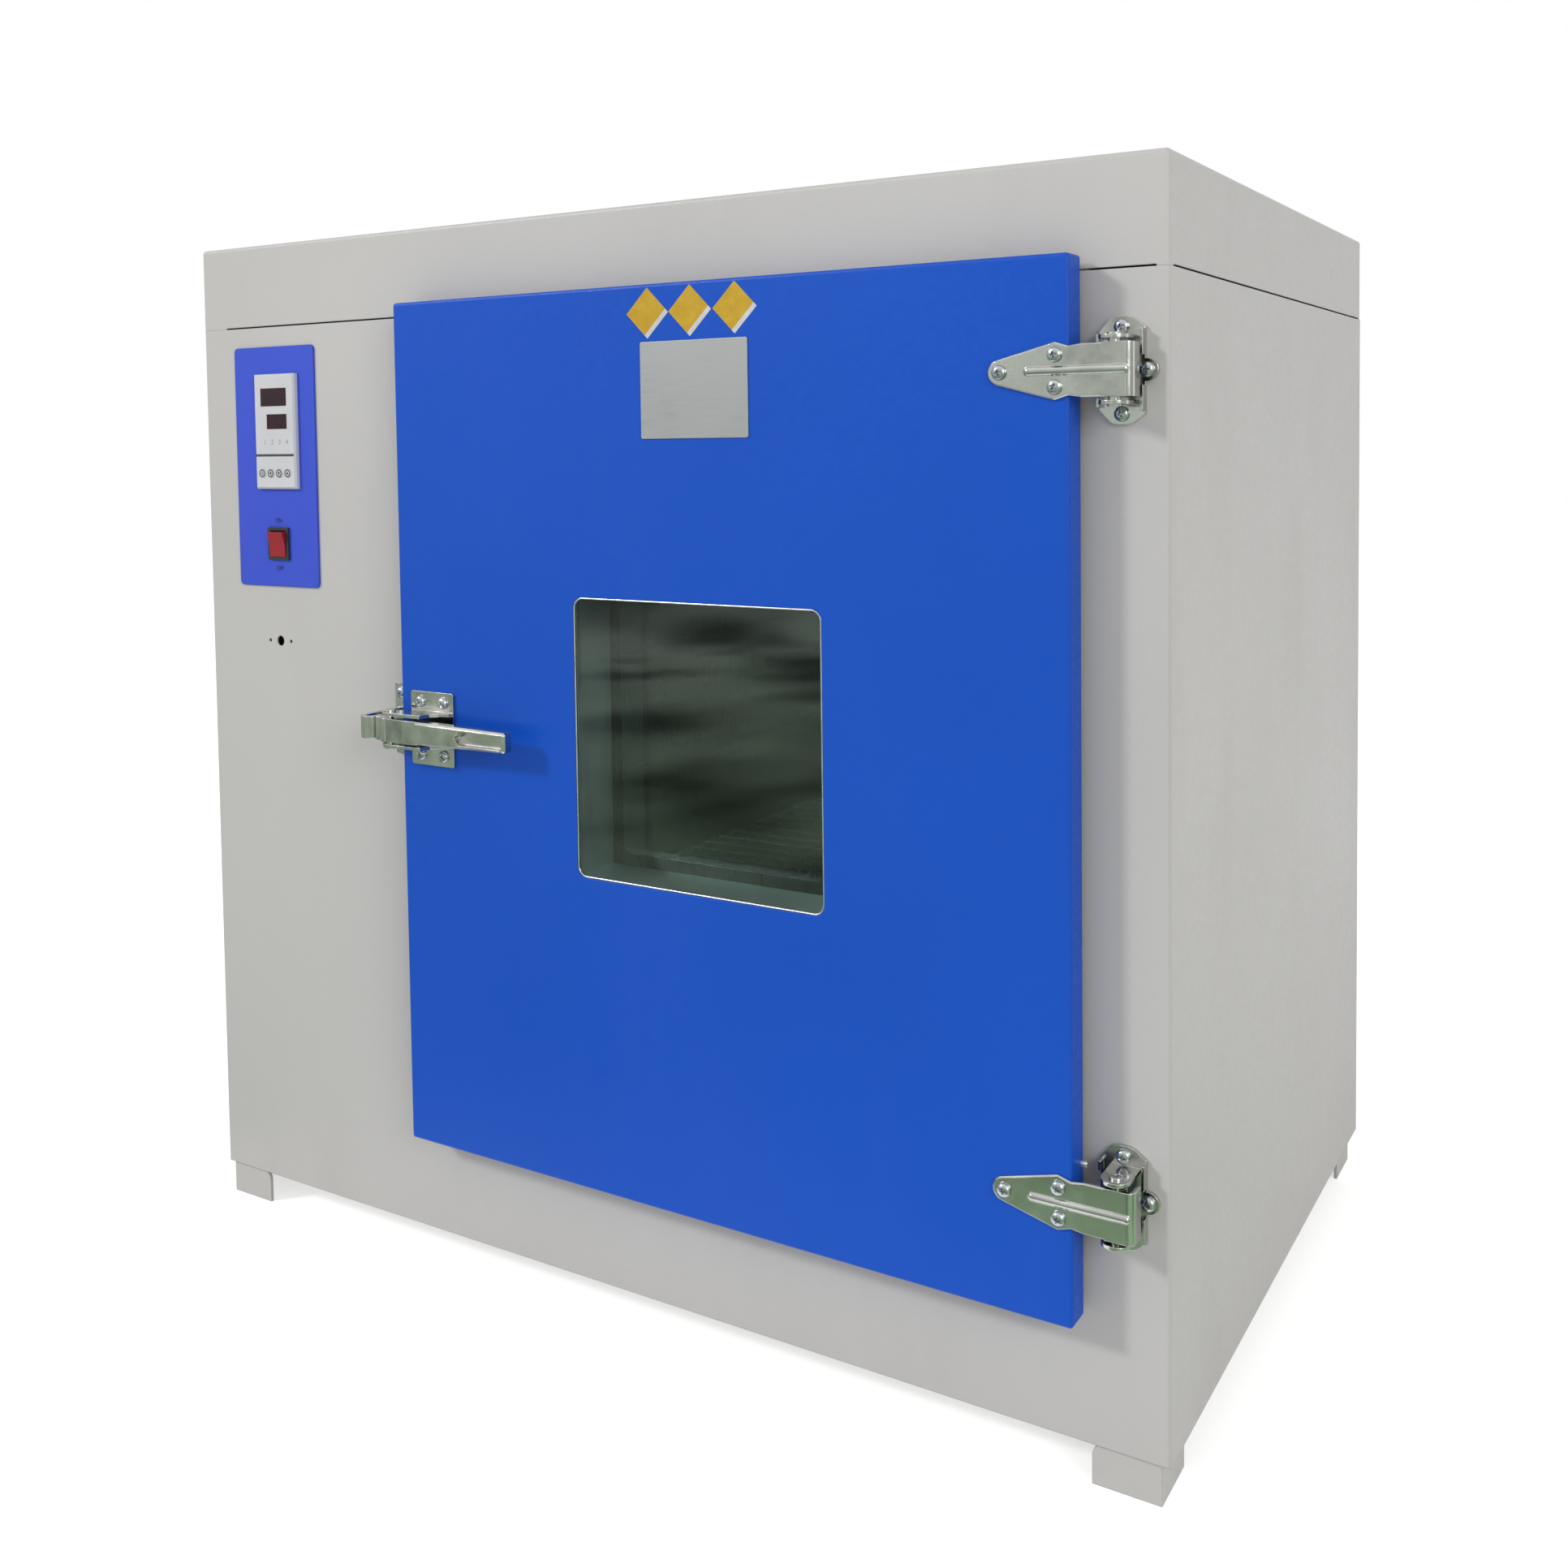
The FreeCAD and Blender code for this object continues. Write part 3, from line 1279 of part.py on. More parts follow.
def hinge_bracket(height):
    """The bracket on the casing: base plate with a side lobe, rims, and two ears that hold the pin."""
    middle = pin_x - bracket_shift
    half = bracket_half_width
    tall = bracket_half_height
    y1 = front
    y0 = front - bracket_thickness
    upper = [(-half, tall - 9), (-7, tall - 1), (-3, tall), (3, tall), (7, tall - 1), (half, tall - 6.5)]
    points = [(middle + x, height + z) for x, z in upper]
    points += [(middle + x, height - z) for x, z in reversed(upper)]
    base = rounded(plate_from(points, y0, y1), 2, Y_AXIS)
    lobe = rod(bracket_lobe_radius, (middle + bracket_lobe, y0, height), Y_AXIS, bracket_thickness)
    pieces = [base, lobe]
    ear_inner = strap_half_height + ear_gap
    ear_outer = ear_inner + ear_thickness
    for z0 in (height + ear_inner, height - ear_outer):
        pieces.append(block(pin_x - ear_radius, pin_x + ear_radius, pin_y, y0 + 0.5, z0, z0 + ear_thickness))
        pieces.append(rod(ear_radius, (pin_x, pin_y, z0), Z_AXIS, ear_thickness))
    left_rim = (middle - half, strap_half_height, tall - 10.5)
    right_rim = (middle + half - bracket_rim_sheet, bracket_lobe_radius + 2, tall - 8)
    for x0, low, high in (left_rim, right_rim):
        for z0, z1 in ((height + low, height + high), (height - high, height - low)):
            pieces.append(block(x0, x0 + bracket_rim_sheet, y0 - bracket_rim, y0 + 0.5, z0, z1))
    bracket = join(pieces)
    bore = rod(pin_radius + pin_clearance, (pin_x, pin_y, height - ear_outer - 1), Z_AXIS, 2 * ear_outer + 2)
    bracket = bracket.cut(bore)
    return drilled(bracket, bracket_screw_places(height), screw_radius + screw_hole_gap, y0 - 1, y1 + 1)


def hinge_pins():
    """The two hinge pins, each riveted over on both ears."""
    pins = []
    reach = strap_half_height + ear_gap + ear_thickness
    for height in hinge_heights.values():
        pieces = [rod(pin_radius, (pin_x, pin_y, height - reach), Z_AXIS, 2 * reach)]
        for z0 in (height + reach, height - reach - pin_end_height):
            pieces.append(rod(pin_end_radius, (pin_x, pin_y, z0), Z_AXIS, pin_end_height))
        pin = join(pieces)
        for z0 in (height + reach - 1, height - reach - pin_end_height - 1):
            pin = pin.cut(rod(pin_end_hole, (pin_x, pin_y, z0), Z_AXIS, pin_end_height + 2))
        pins.append(pin)
    return Part.makeCompound(pins)


def strap_screws():
    """The screws that hold both straps on the door."""
    seat = door_front - strap_thickness
    return Part.makeCompound([
        hinge_screw(x, seat, z) for height in hinge_heights.values() for x, z in strap_screw_places(height)
    ])


def bracket_screws():
    """The screws that hold both brackets on the casing."""
    seat = front - bracket_thickness
    return Part.makeCompound([
        hinge_screw(x, seat, z) for height in hinge_heights.values() for x, z in bracket_screw_places(height)
    ])


# Latch

def latch_base():
    """The latch's base on the door: a screwed plate with two shelves that hold the lever's pin."""
    y1 = door_front
    y0 = y1 - latch_base_sheet
    half = latch_base_height / 2
    plate = panel(base_x0, base_x1, y0, y1, latch_z - half, latch_z + half, 2)
    px, py = latch_pivot
    out = py - 6
    outline = [
        (base_x0, y0 + 0.5),
        (base_x1, y0 + 0.5),
        (base_x1 - 2, y0 - 3),
        (base_x1 - 9, y0 - 6),
        (base_x1 - 14, y0 - 11),
        (base_x1 - 16, out),
        (px, out),
        (px, py + 6),
        (base_x0, y0 - 2),
    ]
    pieces = [plate]
    for z0 in (latch_z + latch_shelf_half, latch_z - latch_shelf_half - latch_shelf_sheet):
        pieces.append(shelf_from(outline, z0, z0 + latch_shelf_sheet))
        pieces.append(rod(6, (px, py, z0), Z_AXIS, latch_shelf_sheet))
    base = join(pieces)
    reach = latch_shelf_half + latch_shelf_sheet + 1
    hole = latch_pin_radius + pin_clearance
    base = base.cut(rod(hole, (px, py, latch_z - reach), Z_AXIS, 2 * reach))
    return drilled(base, latch_screw_places(), screw_radius + screw_hole_gap, y0 - 1, y1 + 1)


def latch_pin():
    """The pin that the lever turns on, with a head at each end."""
    px, py = latch_pivot
    reach = latch_shelf_half + latch_shelf_sheet
    return join([
        rod(latch_pin_radius, (px, py, latch_z - reach), Z_AXIS, 2 * reach),
        rod(latch_pin_head, (px, py, latch_z + reach), Z_AXIS, latch_pin_head_height),
        rod(latch_pin_head, (px, py, latch_z - reach - latch_pin_head_height), Z_AXIS, latch_pin_head_height),
    ])


def latch_lever():
    """The cast lever: hub, long grip with a finger recess, and the claw that points at the keeper."""
    px, py = latch_pivot
    half = lever_height / 2
    tip_half = lever_tip_height / 2
    end_x = px + lever_reach
    y0 = lever_front
    y1 = lever_front + lever_thickness
    hub = rod(lever_hub_radius, (px, py, latch_z - half), Z_AXIS, lever_height)
    neck = shelf_from([(px - 2, py - lever_hub_radius + 0.5), (px + 20, y0), (px + 34, y0), (px + 34, y1),
                       (px + 4, py + 4)], latch_z - half, latch_z + half)
    taper = [(px + 20, latch_z - half), (px + 20, latch_z + half), (end_x, latch_z + tip_half),
             (end_x, latch_z - tip_half)]
    grip = plate_from(taper, y0, y1)
    grip = rounded(grip, 2.5, Y_AXIS, lambda p: p.x > end_x - 1)
    front_rim = [e for e in grip.Edges if abs(e.CenterOfMass.y - y0) < 0.01 and e.CenterOfMass.x > px + 21]
    grip = grip.makeChamfer(lever_edge, front_rim)
    claw_half = claw_thickness / 2
    claw = block(px - claw_reach + claw_half, px, py - claw_half, py + claw_half, latch_z - half, latch_z + half)
    nose = rod(claw_half, (px - claw_reach + claw_half, py, latch_z - half), Z_AXIS, lever_height)
    lever = join([hub, neck, grip, claw, nose])
    recess_x1 = end_x - lever_recess_end
    recess_x0 = recess_x1 - lever_recess_length
    recess_half = lever_recess_height / 2
    recess = plate_from([
        (recess_x0, latch_z),
        (recess_x0 + 5, latch_z + recess_half),
        (recess_x1, latch_z + recess_half),
        (recess_x1, latch_z - recess_half),
        (recess_x0 + 5, latch_z - recess_half),
    ], y0 - 1, y0 + lever_recess_depth)
    lever = lever.cut(rounded(recess, 1.5, Y_AXIS))
    return lever.cut(rod(latch_pin_radius + pin_clearance, (px, py, latch_z - half - 1), Z_AXIS, lever_height + 2))


def latch_screws():
    """The four screws of the latch's base."""
    return Part.makeCompound([hinge_screw(x, door_front - latch_base_sheet, z) for x, z in latch_screw_places()])


def keeper():
    """The keeper on the casing: a screwed plate, an arm that stands forward and its curled end."""
    half = latch_base_height / 2
    y0 = front - keeper_sheet
    plate = panel(keeper_x0, keeper_x1, y0, front, latch_z - half, latch_z + half, 2)
    hook_x = latch_pivot[0] - claw_reach - keeper_hook_gap - keeper_hook_radius
    hook_y = latch_pivot[1] + 3
    z0 = latch_z - keeper_arm_height / 2
    arm_x0 = hook_x - keeper_hook_radius
    arm = block(arm_x0, arm_x0 + keeper_arm_sheet, hook_y, y0 + 0.5, z0, z0 + keeper_arm_height)
    curl = pipe(keeper_hook_radius, keeper_hook_radius - keeper_arm_sheet, (hook_x, hook_y, z0), Z_AXIS,
                keeper_arm_height)
    curl = curl.cut(block(hook_x - 20, hook_x + 20, hook_y, hook_y + 20, z0 - 1, z0 + keeper_arm_height + 1))
    tail_x1 = hook_x + keeper_hook_radius
    tail = block(tail_x1 - keeper_arm_sheet, tail_x1, hook_y, hook_y + keeper_hook_return, z0, z0 + keeper_arm_height)
    shape = join([plate, arm, curl, tail])
    return drilled(shape, keeper_screw_places(), screw_radius + screw_hole_gap, y0 - 1, front + 1)


def keeper_screws():
    """The four screws of the keeper."""
    return Part.makeCompound([hinge_screw(x, front - keeper_sheet, z) for x, z in keeper_screw_places()])


# Every node and the shape it holds

nodes = {
    "body_shell": body_shell(),
    "top_cover": top_cover(),
    "back_panel": back_panel(),
    "back_panel_screws": back_panel_screws(),
    "base_pan": base_pan(),
    "foot_front_left": foot(False, False),
    "foot_front_right": foot(True, False),
    "foot_rear_left": foot(False, True),
    "foot_rear_right": foot(True, True),
    "compartment_partition": compartment_partition(),
    "chamber_stands": chamber_stands(),
    "chamber_liner": chamber_liner(),
    "chamber_insulation": chamber_insulation(),
    "floor_plate": floor_plate(),
    "duct_plate": duct_plate(),
    "shelf_rails": shelf_rails(),
    "upper_shelf": shelf(upper_shelf_level),
    "lower_shelf": shelf(lower_shelf_level),
    "heater_elements": heater_elements(),
    "fan_motor": fan_motor(),
    "motor_bracket": motor_bracket(),
    "fan_shaft": fan_shaft(),
    "fan_impeller": fan_impeller(),
    "temperature_probe": temperature_probe(),
    "exhaust_collar": exhaust_collar(),
    "exhaust_damper": exhaust_damper(),
    "terminal_block": terminal_block(),
    "cable_gland": cable_gland(),
    "control_panel": control_panel(),
    "controller_case": controller_case(),
    "controller_bezel": controller_bezel(),
    "upper_display": display_window(upper_display_width, upper_display_height, upper_display_below_top, 0),
    "lower_display": display_window(lower_display_width, lower_display_height, lower_display_below_top, 0),
    "rocker_bezel": rocker_bezel(),
    "rocker_button": rocker_button(),
    "door_skin": door_skin(),
    "door_inner_panel": door_inner_panel(),
    "door_insulation": door_insulation(),
    "door_gasket": door_gasket(),
    "window_outer_glass": window_outer_glass(),
    "window_inner_glass": window_inner_glass(),
    "window_sleeve": window_sleeve(),
    "bare_plate": bare_plate(),
    "hinge_pins": hinge_pins(),
    "strap_screws": strap_screws(),
    "bracket_screws": bracket_screws(),
    "latch_base": latch_base(),
    "latch_screws": latch_screws(),
    "latch_pin": latch_pin(),
    "latch_lever": latch_lever(),
    "keeper": keeper(),
    "keeper_screws": keeper_screws(),
}
for i in range(key_count):
    nodes[f"key_{i + 1}"] = key(i)
for name, height in hinge_heights.items():
    nodes[f"{name}_hinge_strap"] = hinge_strap(height)
    nodes[f"{name}_hinge_bracket"] = hinge_bracket(height)

os.makedirs("parts", exist_ok=True)
for name, shape in nodes.items():
    shape.exportStep(f"parts/{name}.step")
    print(name, len(shape.Solids), shape.isValid(), round(shape.Volume / 1000, 2))
print(len(nodes), "nodes")
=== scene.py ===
import bpy
import bmesh
import math
from mathutils import Matrix, Vector


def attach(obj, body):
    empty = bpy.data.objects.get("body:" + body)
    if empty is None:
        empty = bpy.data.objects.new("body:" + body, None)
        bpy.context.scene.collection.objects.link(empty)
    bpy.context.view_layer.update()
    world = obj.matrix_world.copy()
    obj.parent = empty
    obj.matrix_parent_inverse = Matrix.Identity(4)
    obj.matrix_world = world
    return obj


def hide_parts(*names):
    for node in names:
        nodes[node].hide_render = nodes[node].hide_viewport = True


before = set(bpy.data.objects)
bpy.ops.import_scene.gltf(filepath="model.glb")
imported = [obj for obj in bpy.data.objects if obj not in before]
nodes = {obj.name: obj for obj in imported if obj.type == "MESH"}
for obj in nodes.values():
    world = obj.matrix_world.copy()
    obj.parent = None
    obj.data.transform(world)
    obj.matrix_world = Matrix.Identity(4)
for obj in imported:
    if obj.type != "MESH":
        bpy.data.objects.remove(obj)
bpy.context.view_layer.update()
scene = bpy.context.scene

# View: the oven is seen from its front right corner, a little below the height of its top.
# The lens and the shift are those of the photograph's frame.
camera_lens = bpy.data.cameras.new("camera")
camera_lens.sensor_width = 36.0
camera_lens.lens = 36.29
camera_lens.shift_y = -0.17
camera_lens.clip_end = 60.0
camera = bpy.data.objects.new("camera", camera_lens)
camera.matrix_world = (
    Matrix.Translation((0.7113, -1.1805, 0.6575))
    @ Matrix.Rotation(math.radians(31.039), 4, "Z")
    @ Matrix.Rotation(math.radians(90 - 2.778), 4, "X")
    @ Matrix.Rotation(math.radians(-0.722), 4, "Z")
)
scene.collection.objects.link(camera)
scene.camera = camera
scene.view_settings.view_transform = "Standard"


# Room: a pale floor that keeps the oven's shadow, and a white background for the camera, metal and glass.
# A soft lamp stands high on the front left and a wider one on the right. A dim green-grey mat and curved
# screen in front, which only mirrors and glass see, stand for the workshop that the bright metal reflects.
def place(tree, kind, inputs=None, **settings):
    """A node with its settings. An input gets a value, or a link where a socket is given."""
    made = tree.nodes.new(kind)
    for label, value in settings.items():
        setattr(made, label, value)
    for key, value in (inputs or {}).items():
        if isinstance(value, bpy.types.NodeSocket):
            tree.links.new(value, made.inputs[key])
        else:
            made.inputs[key].default_value = value
    return made


def sees_background(tree):
    """1 for the rays that show the background: the camera's own, and those from metal and glass."""
    path = place(tree, "ShaderNodeLightPath").outputs
    either = place(tree, "ShaderNodeMath", {0: path["Is Camera Ray"], 1: path["Is Glossy Ray"]},
                   operation="MAXIMUM").outputs[0]
    return place(tree, "ShaderNodeMath", {0: either, 1: path["Is Transmission Ray"]}, operation="MAXIMUM").outputs[0]


room = bpy.data.worlds.new("room")
scene.world = room
room.use_nodes = True
sky = room.node_tree
sky.nodes.clear()
soft_light = place(sky, "ShaderNodeBackground", {"Color": (1.0, 0.99, 0.975, 1), "Strength": 0.5})
background = place(sky, "ShaderNodeBackground", {"Color": (1, 1, 1, 1), "Strength": 1.0})
seen = place(sky, "ShaderNodeMixShader", {0: sees_background(sky), 1: soft_light.outputs[0], 2: background.outputs[0]})
place(sky, "ShaderNodeOutputWorld", {"Surface": seen.outputs[0]})


def lamp(name, where, towards, size, power):
    """A square soft lamp that faces a point."""
    light = bpy.data.lights.new(name, "AREA")
    light.size = size
    light.energy = power
    made = bpy.data.objects.new(name, light)
    made.location = where
    made.rotation_euler = (Vector(towards) - Vector(where)).to_track_quat("-Z", "Y").to_euler()
    scene.collection.objects.link(made)
    return made


lamp("front_left_lamp", (-5.5, -5.9, 5.0), (0.1, -0.27, 0.44), 1.2, 360)
lamp("right_lamp", (3.5, -2.4, 1.9), (0.42, 0.0, 0.45), 1.8, 58)


def stage_piece(name, corners, faces, finish):
    """A plain piece of the room, not part of the oven."""
    mesh = bpy.data.meshes.new(name)
    mesh.from_pydata(corners, [], faces)
    mesh.materials.append(finish)
    made = bpy.data.objects.new(name, mesh)
    scene.collection.objects.link(made)
    return made


floor_paint = bpy.data.materials.new("floor_paint")
floor_paint.use_nodes = True
paint = floor_paint.node_tree
paint.nodes["Principled BSDF"].inputs["Base Color"].default_value = (0.8, 0.8, 0.79, 1)
paint.nodes["Principled BSDF"].inputs["Roughness"].default_value = 0.7
paint.nodes["Principled BSDF"].inputs["Specular IOR Level"].default_value = 0.2
lift = place(paint, "ShaderNodeMath", {0: sees_background(paint), 1: 0.6}, operation="MULTIPLY").outputs[0]
glow = place(paint, "ShaderNodeEmission", {"Color": (1, 1, 1, 1), "Strength": lift})
both = place(paint, "ShaderNodeAddShader", {0: paint.nodes["Principled BSDF"].outputs[0], 1: glow.outputs[0]})
paint.links.new(both.outputs[0], paint.nodes["Material Output"].inputs["Surface"])
stage_piece("floor", [(-14, -14, 0), (14, -14, 0), (14, 14, 0), (-14, 14, 0)], [(0, 1, 2, 3)], floor_paint)

screen_cloth = bpy.data.materials.new("screen_cloth")
screen_cloth.use_nodes = True
cloth = screen_cloth.node_tree
cloth.nodes.clear()
cloth_at = place(cloth, "ShaderNodeTexCoord").outputs["Object"]
level_part = place(cloth, "ShaderNodeVectorMath", {0: cloth_at, 1: (1, 1, 0)}, operation="MULTIPLY").outputs[0]
away = place(cloth, "ShaderNodeVectorMath", {0: level_part}, operation="LENGTH").outputs["Value"]
along = place(cloth, "ShaderNodeMath", {0: away, 1: place(cloth, "ShaderNodeSeparateXYZ", {0: cloth_at}).outputs[2]}).outputs[0]
tone = place(cloth, "ShaderNodeValToRGB", {0: place(cloth, "ShaderNodeMath", {0: along, 1: 8.0}, operation="DIVIDE").outputs[0]})
for share, colour in ((0.07, (0.27, 0.40, 0.25, 1)), (0.2, (0.25, 0.35, 0.27, 1)), (0.33, (0.17, 0.24, 0.19, 1)), (0.42, (0.04, 0.045, 0.04, 1)),
                      (0.63, (0.035, 0.035, 0.035, 1)), (0.69, (0.46, 0.43, 0.36, 1)), (0.8, (0.55, 0.54, 0.50, 1)), (1.0, (0.85, 0.85, 0.85, 1))):
    stop = tone.color_ramp.elements.new(share) if share not in (0.07, 1.0) else tone.color_ramp.elements[int(share > 0.5)]
    stop.position = share
    stop.color = colour
patches = place(cloth, "ShaderNodeTexNoise", {"Vector": cloth_at, "Scale": 2.0, "Detail": 2.0}).outputs[0]
patches = place(cloth, "ShaderNodeMapRange", {0: patches, 1: 0.38, 2: 0.62, 3: 0.3, 4: 1.5}).outputs[0]
place(cloth, "ShaderNodeOutputMaterial",
      {"Surface": place(cloth, "ShaderNodeEmission", {"Color": tone.outputs[0], "Strength": patches}).outputs[0]})
section = [(0.58, 0.004), (2.2, 0.004), (4.2, 0.004), (4.5, 0.1), (4.6, 0.4), (4.6, 1.2), (4.6, 2.2), (4.6, 3.4)]
turns = [math.radians(angle) for angle in range(-200, 21, 5)]
screen = stage_piece("screen", [(reach * math.cos(turn), reach * math.sin(turn), z) for reach, z in section for turn in turns],
                     [(row * len(turns) + i, row * len(turns) + i + 1, (row + 1) * len(turns) + i + 1, (row + 1) * len(turns) + i)
                      for row in range(len(section) - 1) for i in range(len(turns) - 1)], screen_cloth)
screen.visible_camera = screen.visible_diffuse = screen.visible_shadow = False


# Casing: a wrap of 1.2 mm sheet steel and a lid with a deep skirt, in light warm grey powder coat.
# The base pan, the back panel and the four folded feet have the same coat.
def effect(name, inputs, outputs):
    """A shader node group with its named inputs and outputs."""
    tree = bpy.data.node_groups.new(name, "ShaderNodeTree")
    kinds = {float: "NodeSocketFloat", tuple: "NodeSocketColor", Vector: "NodeSocketVector"}
    for label, value in inputs.items():
        tree.interface.new_socket(name=label, in_out="INPUT", socket_type=kinds[type(value)]).default_value = value
    for label, kind in outputs.items():
        tree.interface.new_socket(name=label, in_out="OUTPUT", socket_type=kinds[kind])
    return tree, tree.nodes.new("NodeGroupInput").outputs, tree.nodes.new("NodeGroupOutput").inputs


def spots(tree, scale, detail=2.0, vector=None, rough=0.5):
    """Noise on the piece's own coordinates, in features to the metre."""
    where = vector or place(tree, "ShaderNodeTexCoord").outputs["Object"]
    return place(tree, "ShaderNodeTexNoise",
                 {"Vector": where, "Scale": scale, "Detail": detail, "Roughness": rough}).outputs[0]


def spread(tree, value, low, high, to_low, to_high):
    """A value moved from one range to another, and held inside it."""
    return place(tree, "ShaderNodeMapRange", {0: value, 1: low, 2: high, 3: to_low, 4: to_high}).outputs[0]


def sums(tree, *parts):
    """The sum of values, each times its share."""
    total = None
    for value, share in parts:
        scaled = place(tree, "ShaderNodeMath", {0: value, 1: share}, operation="MULTIPLY").outputs[0]
        total = scaled if total is None else place(tree, "ShaderNodeMath", {0: total, 1: scaled}).outputs[0]
    return total


def tinted(tree, colour, share):
    """A colour made lighter or darker by a value."""
    return place(tree, "ShaderNodeVectorMath", {0: colour, "Scale": share}, operation="SCALE").outputs[0]


def blended(tree, share, first, second):
    """Two colours mixed by a value."""
    return place(tree, "ShaderNodeMix", {0: share, 6: first, 7: second}, data_type="RGBA").outputs[2]


powder, given, gives = effect("powder_coat", {"Colour": (0.5, 0.5, 0.5, 1), "Roughness": 0.4, "Mottle": 0.03},
                              {"Colour": tuple, "Roughness": float, "Height": float})
cloud = spots(powder, 2.6, 3.0)
peel = spots(powder, 260.0, 1.0)
fleck = spots(powder, 1400.0, 2.0)
shade = sums(powder, (spread(powder, cloud, 0.3, 0.7, -1.0, 1.0), given["Mottle"]), (spread(powder, fleck, 0.3, 0.7, -1.0, 1.0), 0.018))
shade = place(powder, "ShaderNodeMath", {0: shade, 1: 1.0}).outputs[0]
powder.links.new(tinted(powder, given["Colour"], shade), gives["Colour"])
powder.links.new(sums(powder, (given["Roughness"], 1.0), (spread(powder, peel, 0.3, 0.7, -1.0, 1.0), 0.05),
                      (spread(powder, cloud, 0.3, 0.7, -1.0, 1.0), 0.06)), gives["Roughness"])
powder.links.new(sums(powder, (peel, 0.8), (fleck, 0.2)), gives["Height"])

# Edges: a rounded-edge mask blends in the edge colour. A lighter edge colour is a painted highlight along the edges,
# over a little wear; a darker one is painted shade.
edge_wear_and_light, given, gives = effect("edge_wear_and_painted_light", {"Colour": (0.5, 0.5, 0.5, 1), "Edge Colour": (0.7, 0.7, 0.7, 1), "Width": 0.001,
                                         "Amount": 0.5}, {"Colour": tuple, "Edge": float, "Normal": Vector})
rounded = place(edge_wear_and_light, "ShaderNodeBevel", {"Radius": given["Width"]}, samples=4).outputs[0]
facing = place(edge_wear_and_light, "ShaderNodeNewGeometry").outputs["Normal"]
straight = place(edge_wear_and_light, "ShaderNodeVectorMath", {0: rounded, 1: facing}, operation="DOT_PRODUCT").outputs["Value"]
rim = spread(edge_wear_and_light, straight, 0.995, 0.86, 0.0, 1.0)
patchy = spread(edge_wear_and_light, spots(edge_wear_and_light, 90.0, 4.0, rough=0.65), 0.38, 0.62, 0.25, 1.0)
edge = place(edge_wear_and_light, "ShaderNodeMath", {0: place(edge_wear_and_light, "ShaderNodeMath", {0: rim, 1: patchy}, operation="MULTIPLY").outputs[0],
                                      1: given["Amount"]}, operation="MULTIPLY", use_clamp=True).outputs[0]
edge_wear_and_light.links.new(blended(edge_wear_and_light, edge, given["Colour"], given["Edge Colour"]), gives["Colour"])
edge_wear_and_light.links.new(edge, gives["Edge"])
edge_wear_and_light.links.new(rounded, gives["Normal"])

handled, given, gives = effect("handling_marks", {"Colour": (0.5, 0.5, 0.5, 1), "Dust Colour": (0.3, 0.28, 0.25, 1), "Amount": 0.2,
                                                 "Dust Height": 0.12}, {"Colour": tuple, "Marks": float})
at = place(handled, "ShaderNodeTexCoord").outputs["Object"]
height = place(handled, "ShaderNodeSeparateXYZ", {0: at}).outputs[2]
drawn = place(handled, "ShaderNodeMapping", {"Vector": at, "Scale": (9.0, 9.0, 2.2)}).outputs[0]
streaks = spread(handled, spots(handled, 1.0, 5.0, drawn, 0.6), 0.52, 0.75, 0.0, 1.0)
low = place(handled, "ShaderNodeMath", {0: height, 1: given["Dust Height"]}, operation="DIVIDE").outputs[0]
low = place(handled, "ShaderNodeMath", {0: spread(handled, low, 0.0, 1.0, 0.8, 0.0),
                                        1: spots(handled, 40.0, 6.0, rough=0.7)}, operation="MULTIPLY").outputs[0]
marks = sums(handled, (streaks, 0.35), (low, 1.0))
marks = place(handled, "ShaderNodeMath", {0: marks, 1: given["Amount"]}, operation="MULTIPLY", use_clamp=True).outputs[0]
handled.links.new(blended(handled, marks, given["Colour"], given["Dust Colour"]), gives["Colour"])
handled.links.new(marks, gives["Marks"])


def finish_of(name, **plain):
    """A new material and its shader, with plain values on the shader's own inputs."""
    made = bpy.data.materials.new(name)
    made.use_nodes = True
    shader = made.node_tree.nodes["Principled BSDF"]
    for label, value in plain.items():
        shader.inputs[label.replace("_", " ")].default_value = value
    return made, made.node_tree, shader


def enamelled(name, colour, roughness, edge_colour, mottle=0.03, wear=0.35, width=0.0012, dust=0.25, gloss=0.35):
    """Powder coat on sheet steel: orange peel, softened edges in the edge colour, which paints a highlight where it is
    lighter and shade where it is darker, over a little thin coat, and a little dust.
    """
    made, tree, shader = finish_of(name, Specular_IOR_Level=gloss)
    skin = place(tree, "ShaderNodeGroup", node_tree=powder)
    skin.inputs["Colour"].default_value = (*colour, 1)
    skin.inputs["Roughness"].default_value = roughness
    skin.inputs["Mottle"].default_value = mottle
    edges = place(tree, "ShaderNodeGroup", node_tree=edge_wear_and_light)
    edges.inputs["Edge Colour"].default_value = (*edge_colour, 1)
    edges.inputs["Width"].default_value = width
    edges.inputs["Amount"].default_value = wear
    marks = place(tree, "ShaderNodeGroup", node_tree=handled)
    marks.inputs["Amount"].default_value = dust
    tree.links.new(skin.outputs["Colour"], edges.inputs["Colour"])
    tree.links.new(edges.outputs["Colour"], marks.inputs["Colour"])
    tree.links.new(marks.outputs["Colour"], shader.inputs["Base Color"])
    tree.links.new(sums(tree, (skin.outputs["Roughness"], 1.0), (marks.outputs["Marks"], 0.5)), shader.inputs["Roughness"])
    bump = place(tree, "ShaderNodeBump", {"Height": skin.outputs["Height"], "Normal": edges.outputs["Normal"],
                                          "Strength": 0.6, "Distance": 0.00012})
    tree.links.new(bump.outputs[0], shader.inputs["Normal"])
    return made


def given_finish(finish, *names):
    """Gives CAD nodes their finish."""
    for name in names:
        for slot in nodes[name].material_slots:
            slot.material = finish


# Its lighter edge colour paints a highlight along the casing's bends and edges.
casing_grey = enamelled("casing_grey", (0.505, 0.499, 0.487), 0.42, (0.66, 0.65, 0.63))
given_finish(casing_grey, "body_shell", "top_cover", "base_pan", "back_panel", "foot_front_left", "foot_front_right",
             "foot_rear_left", "foot_rear_right")


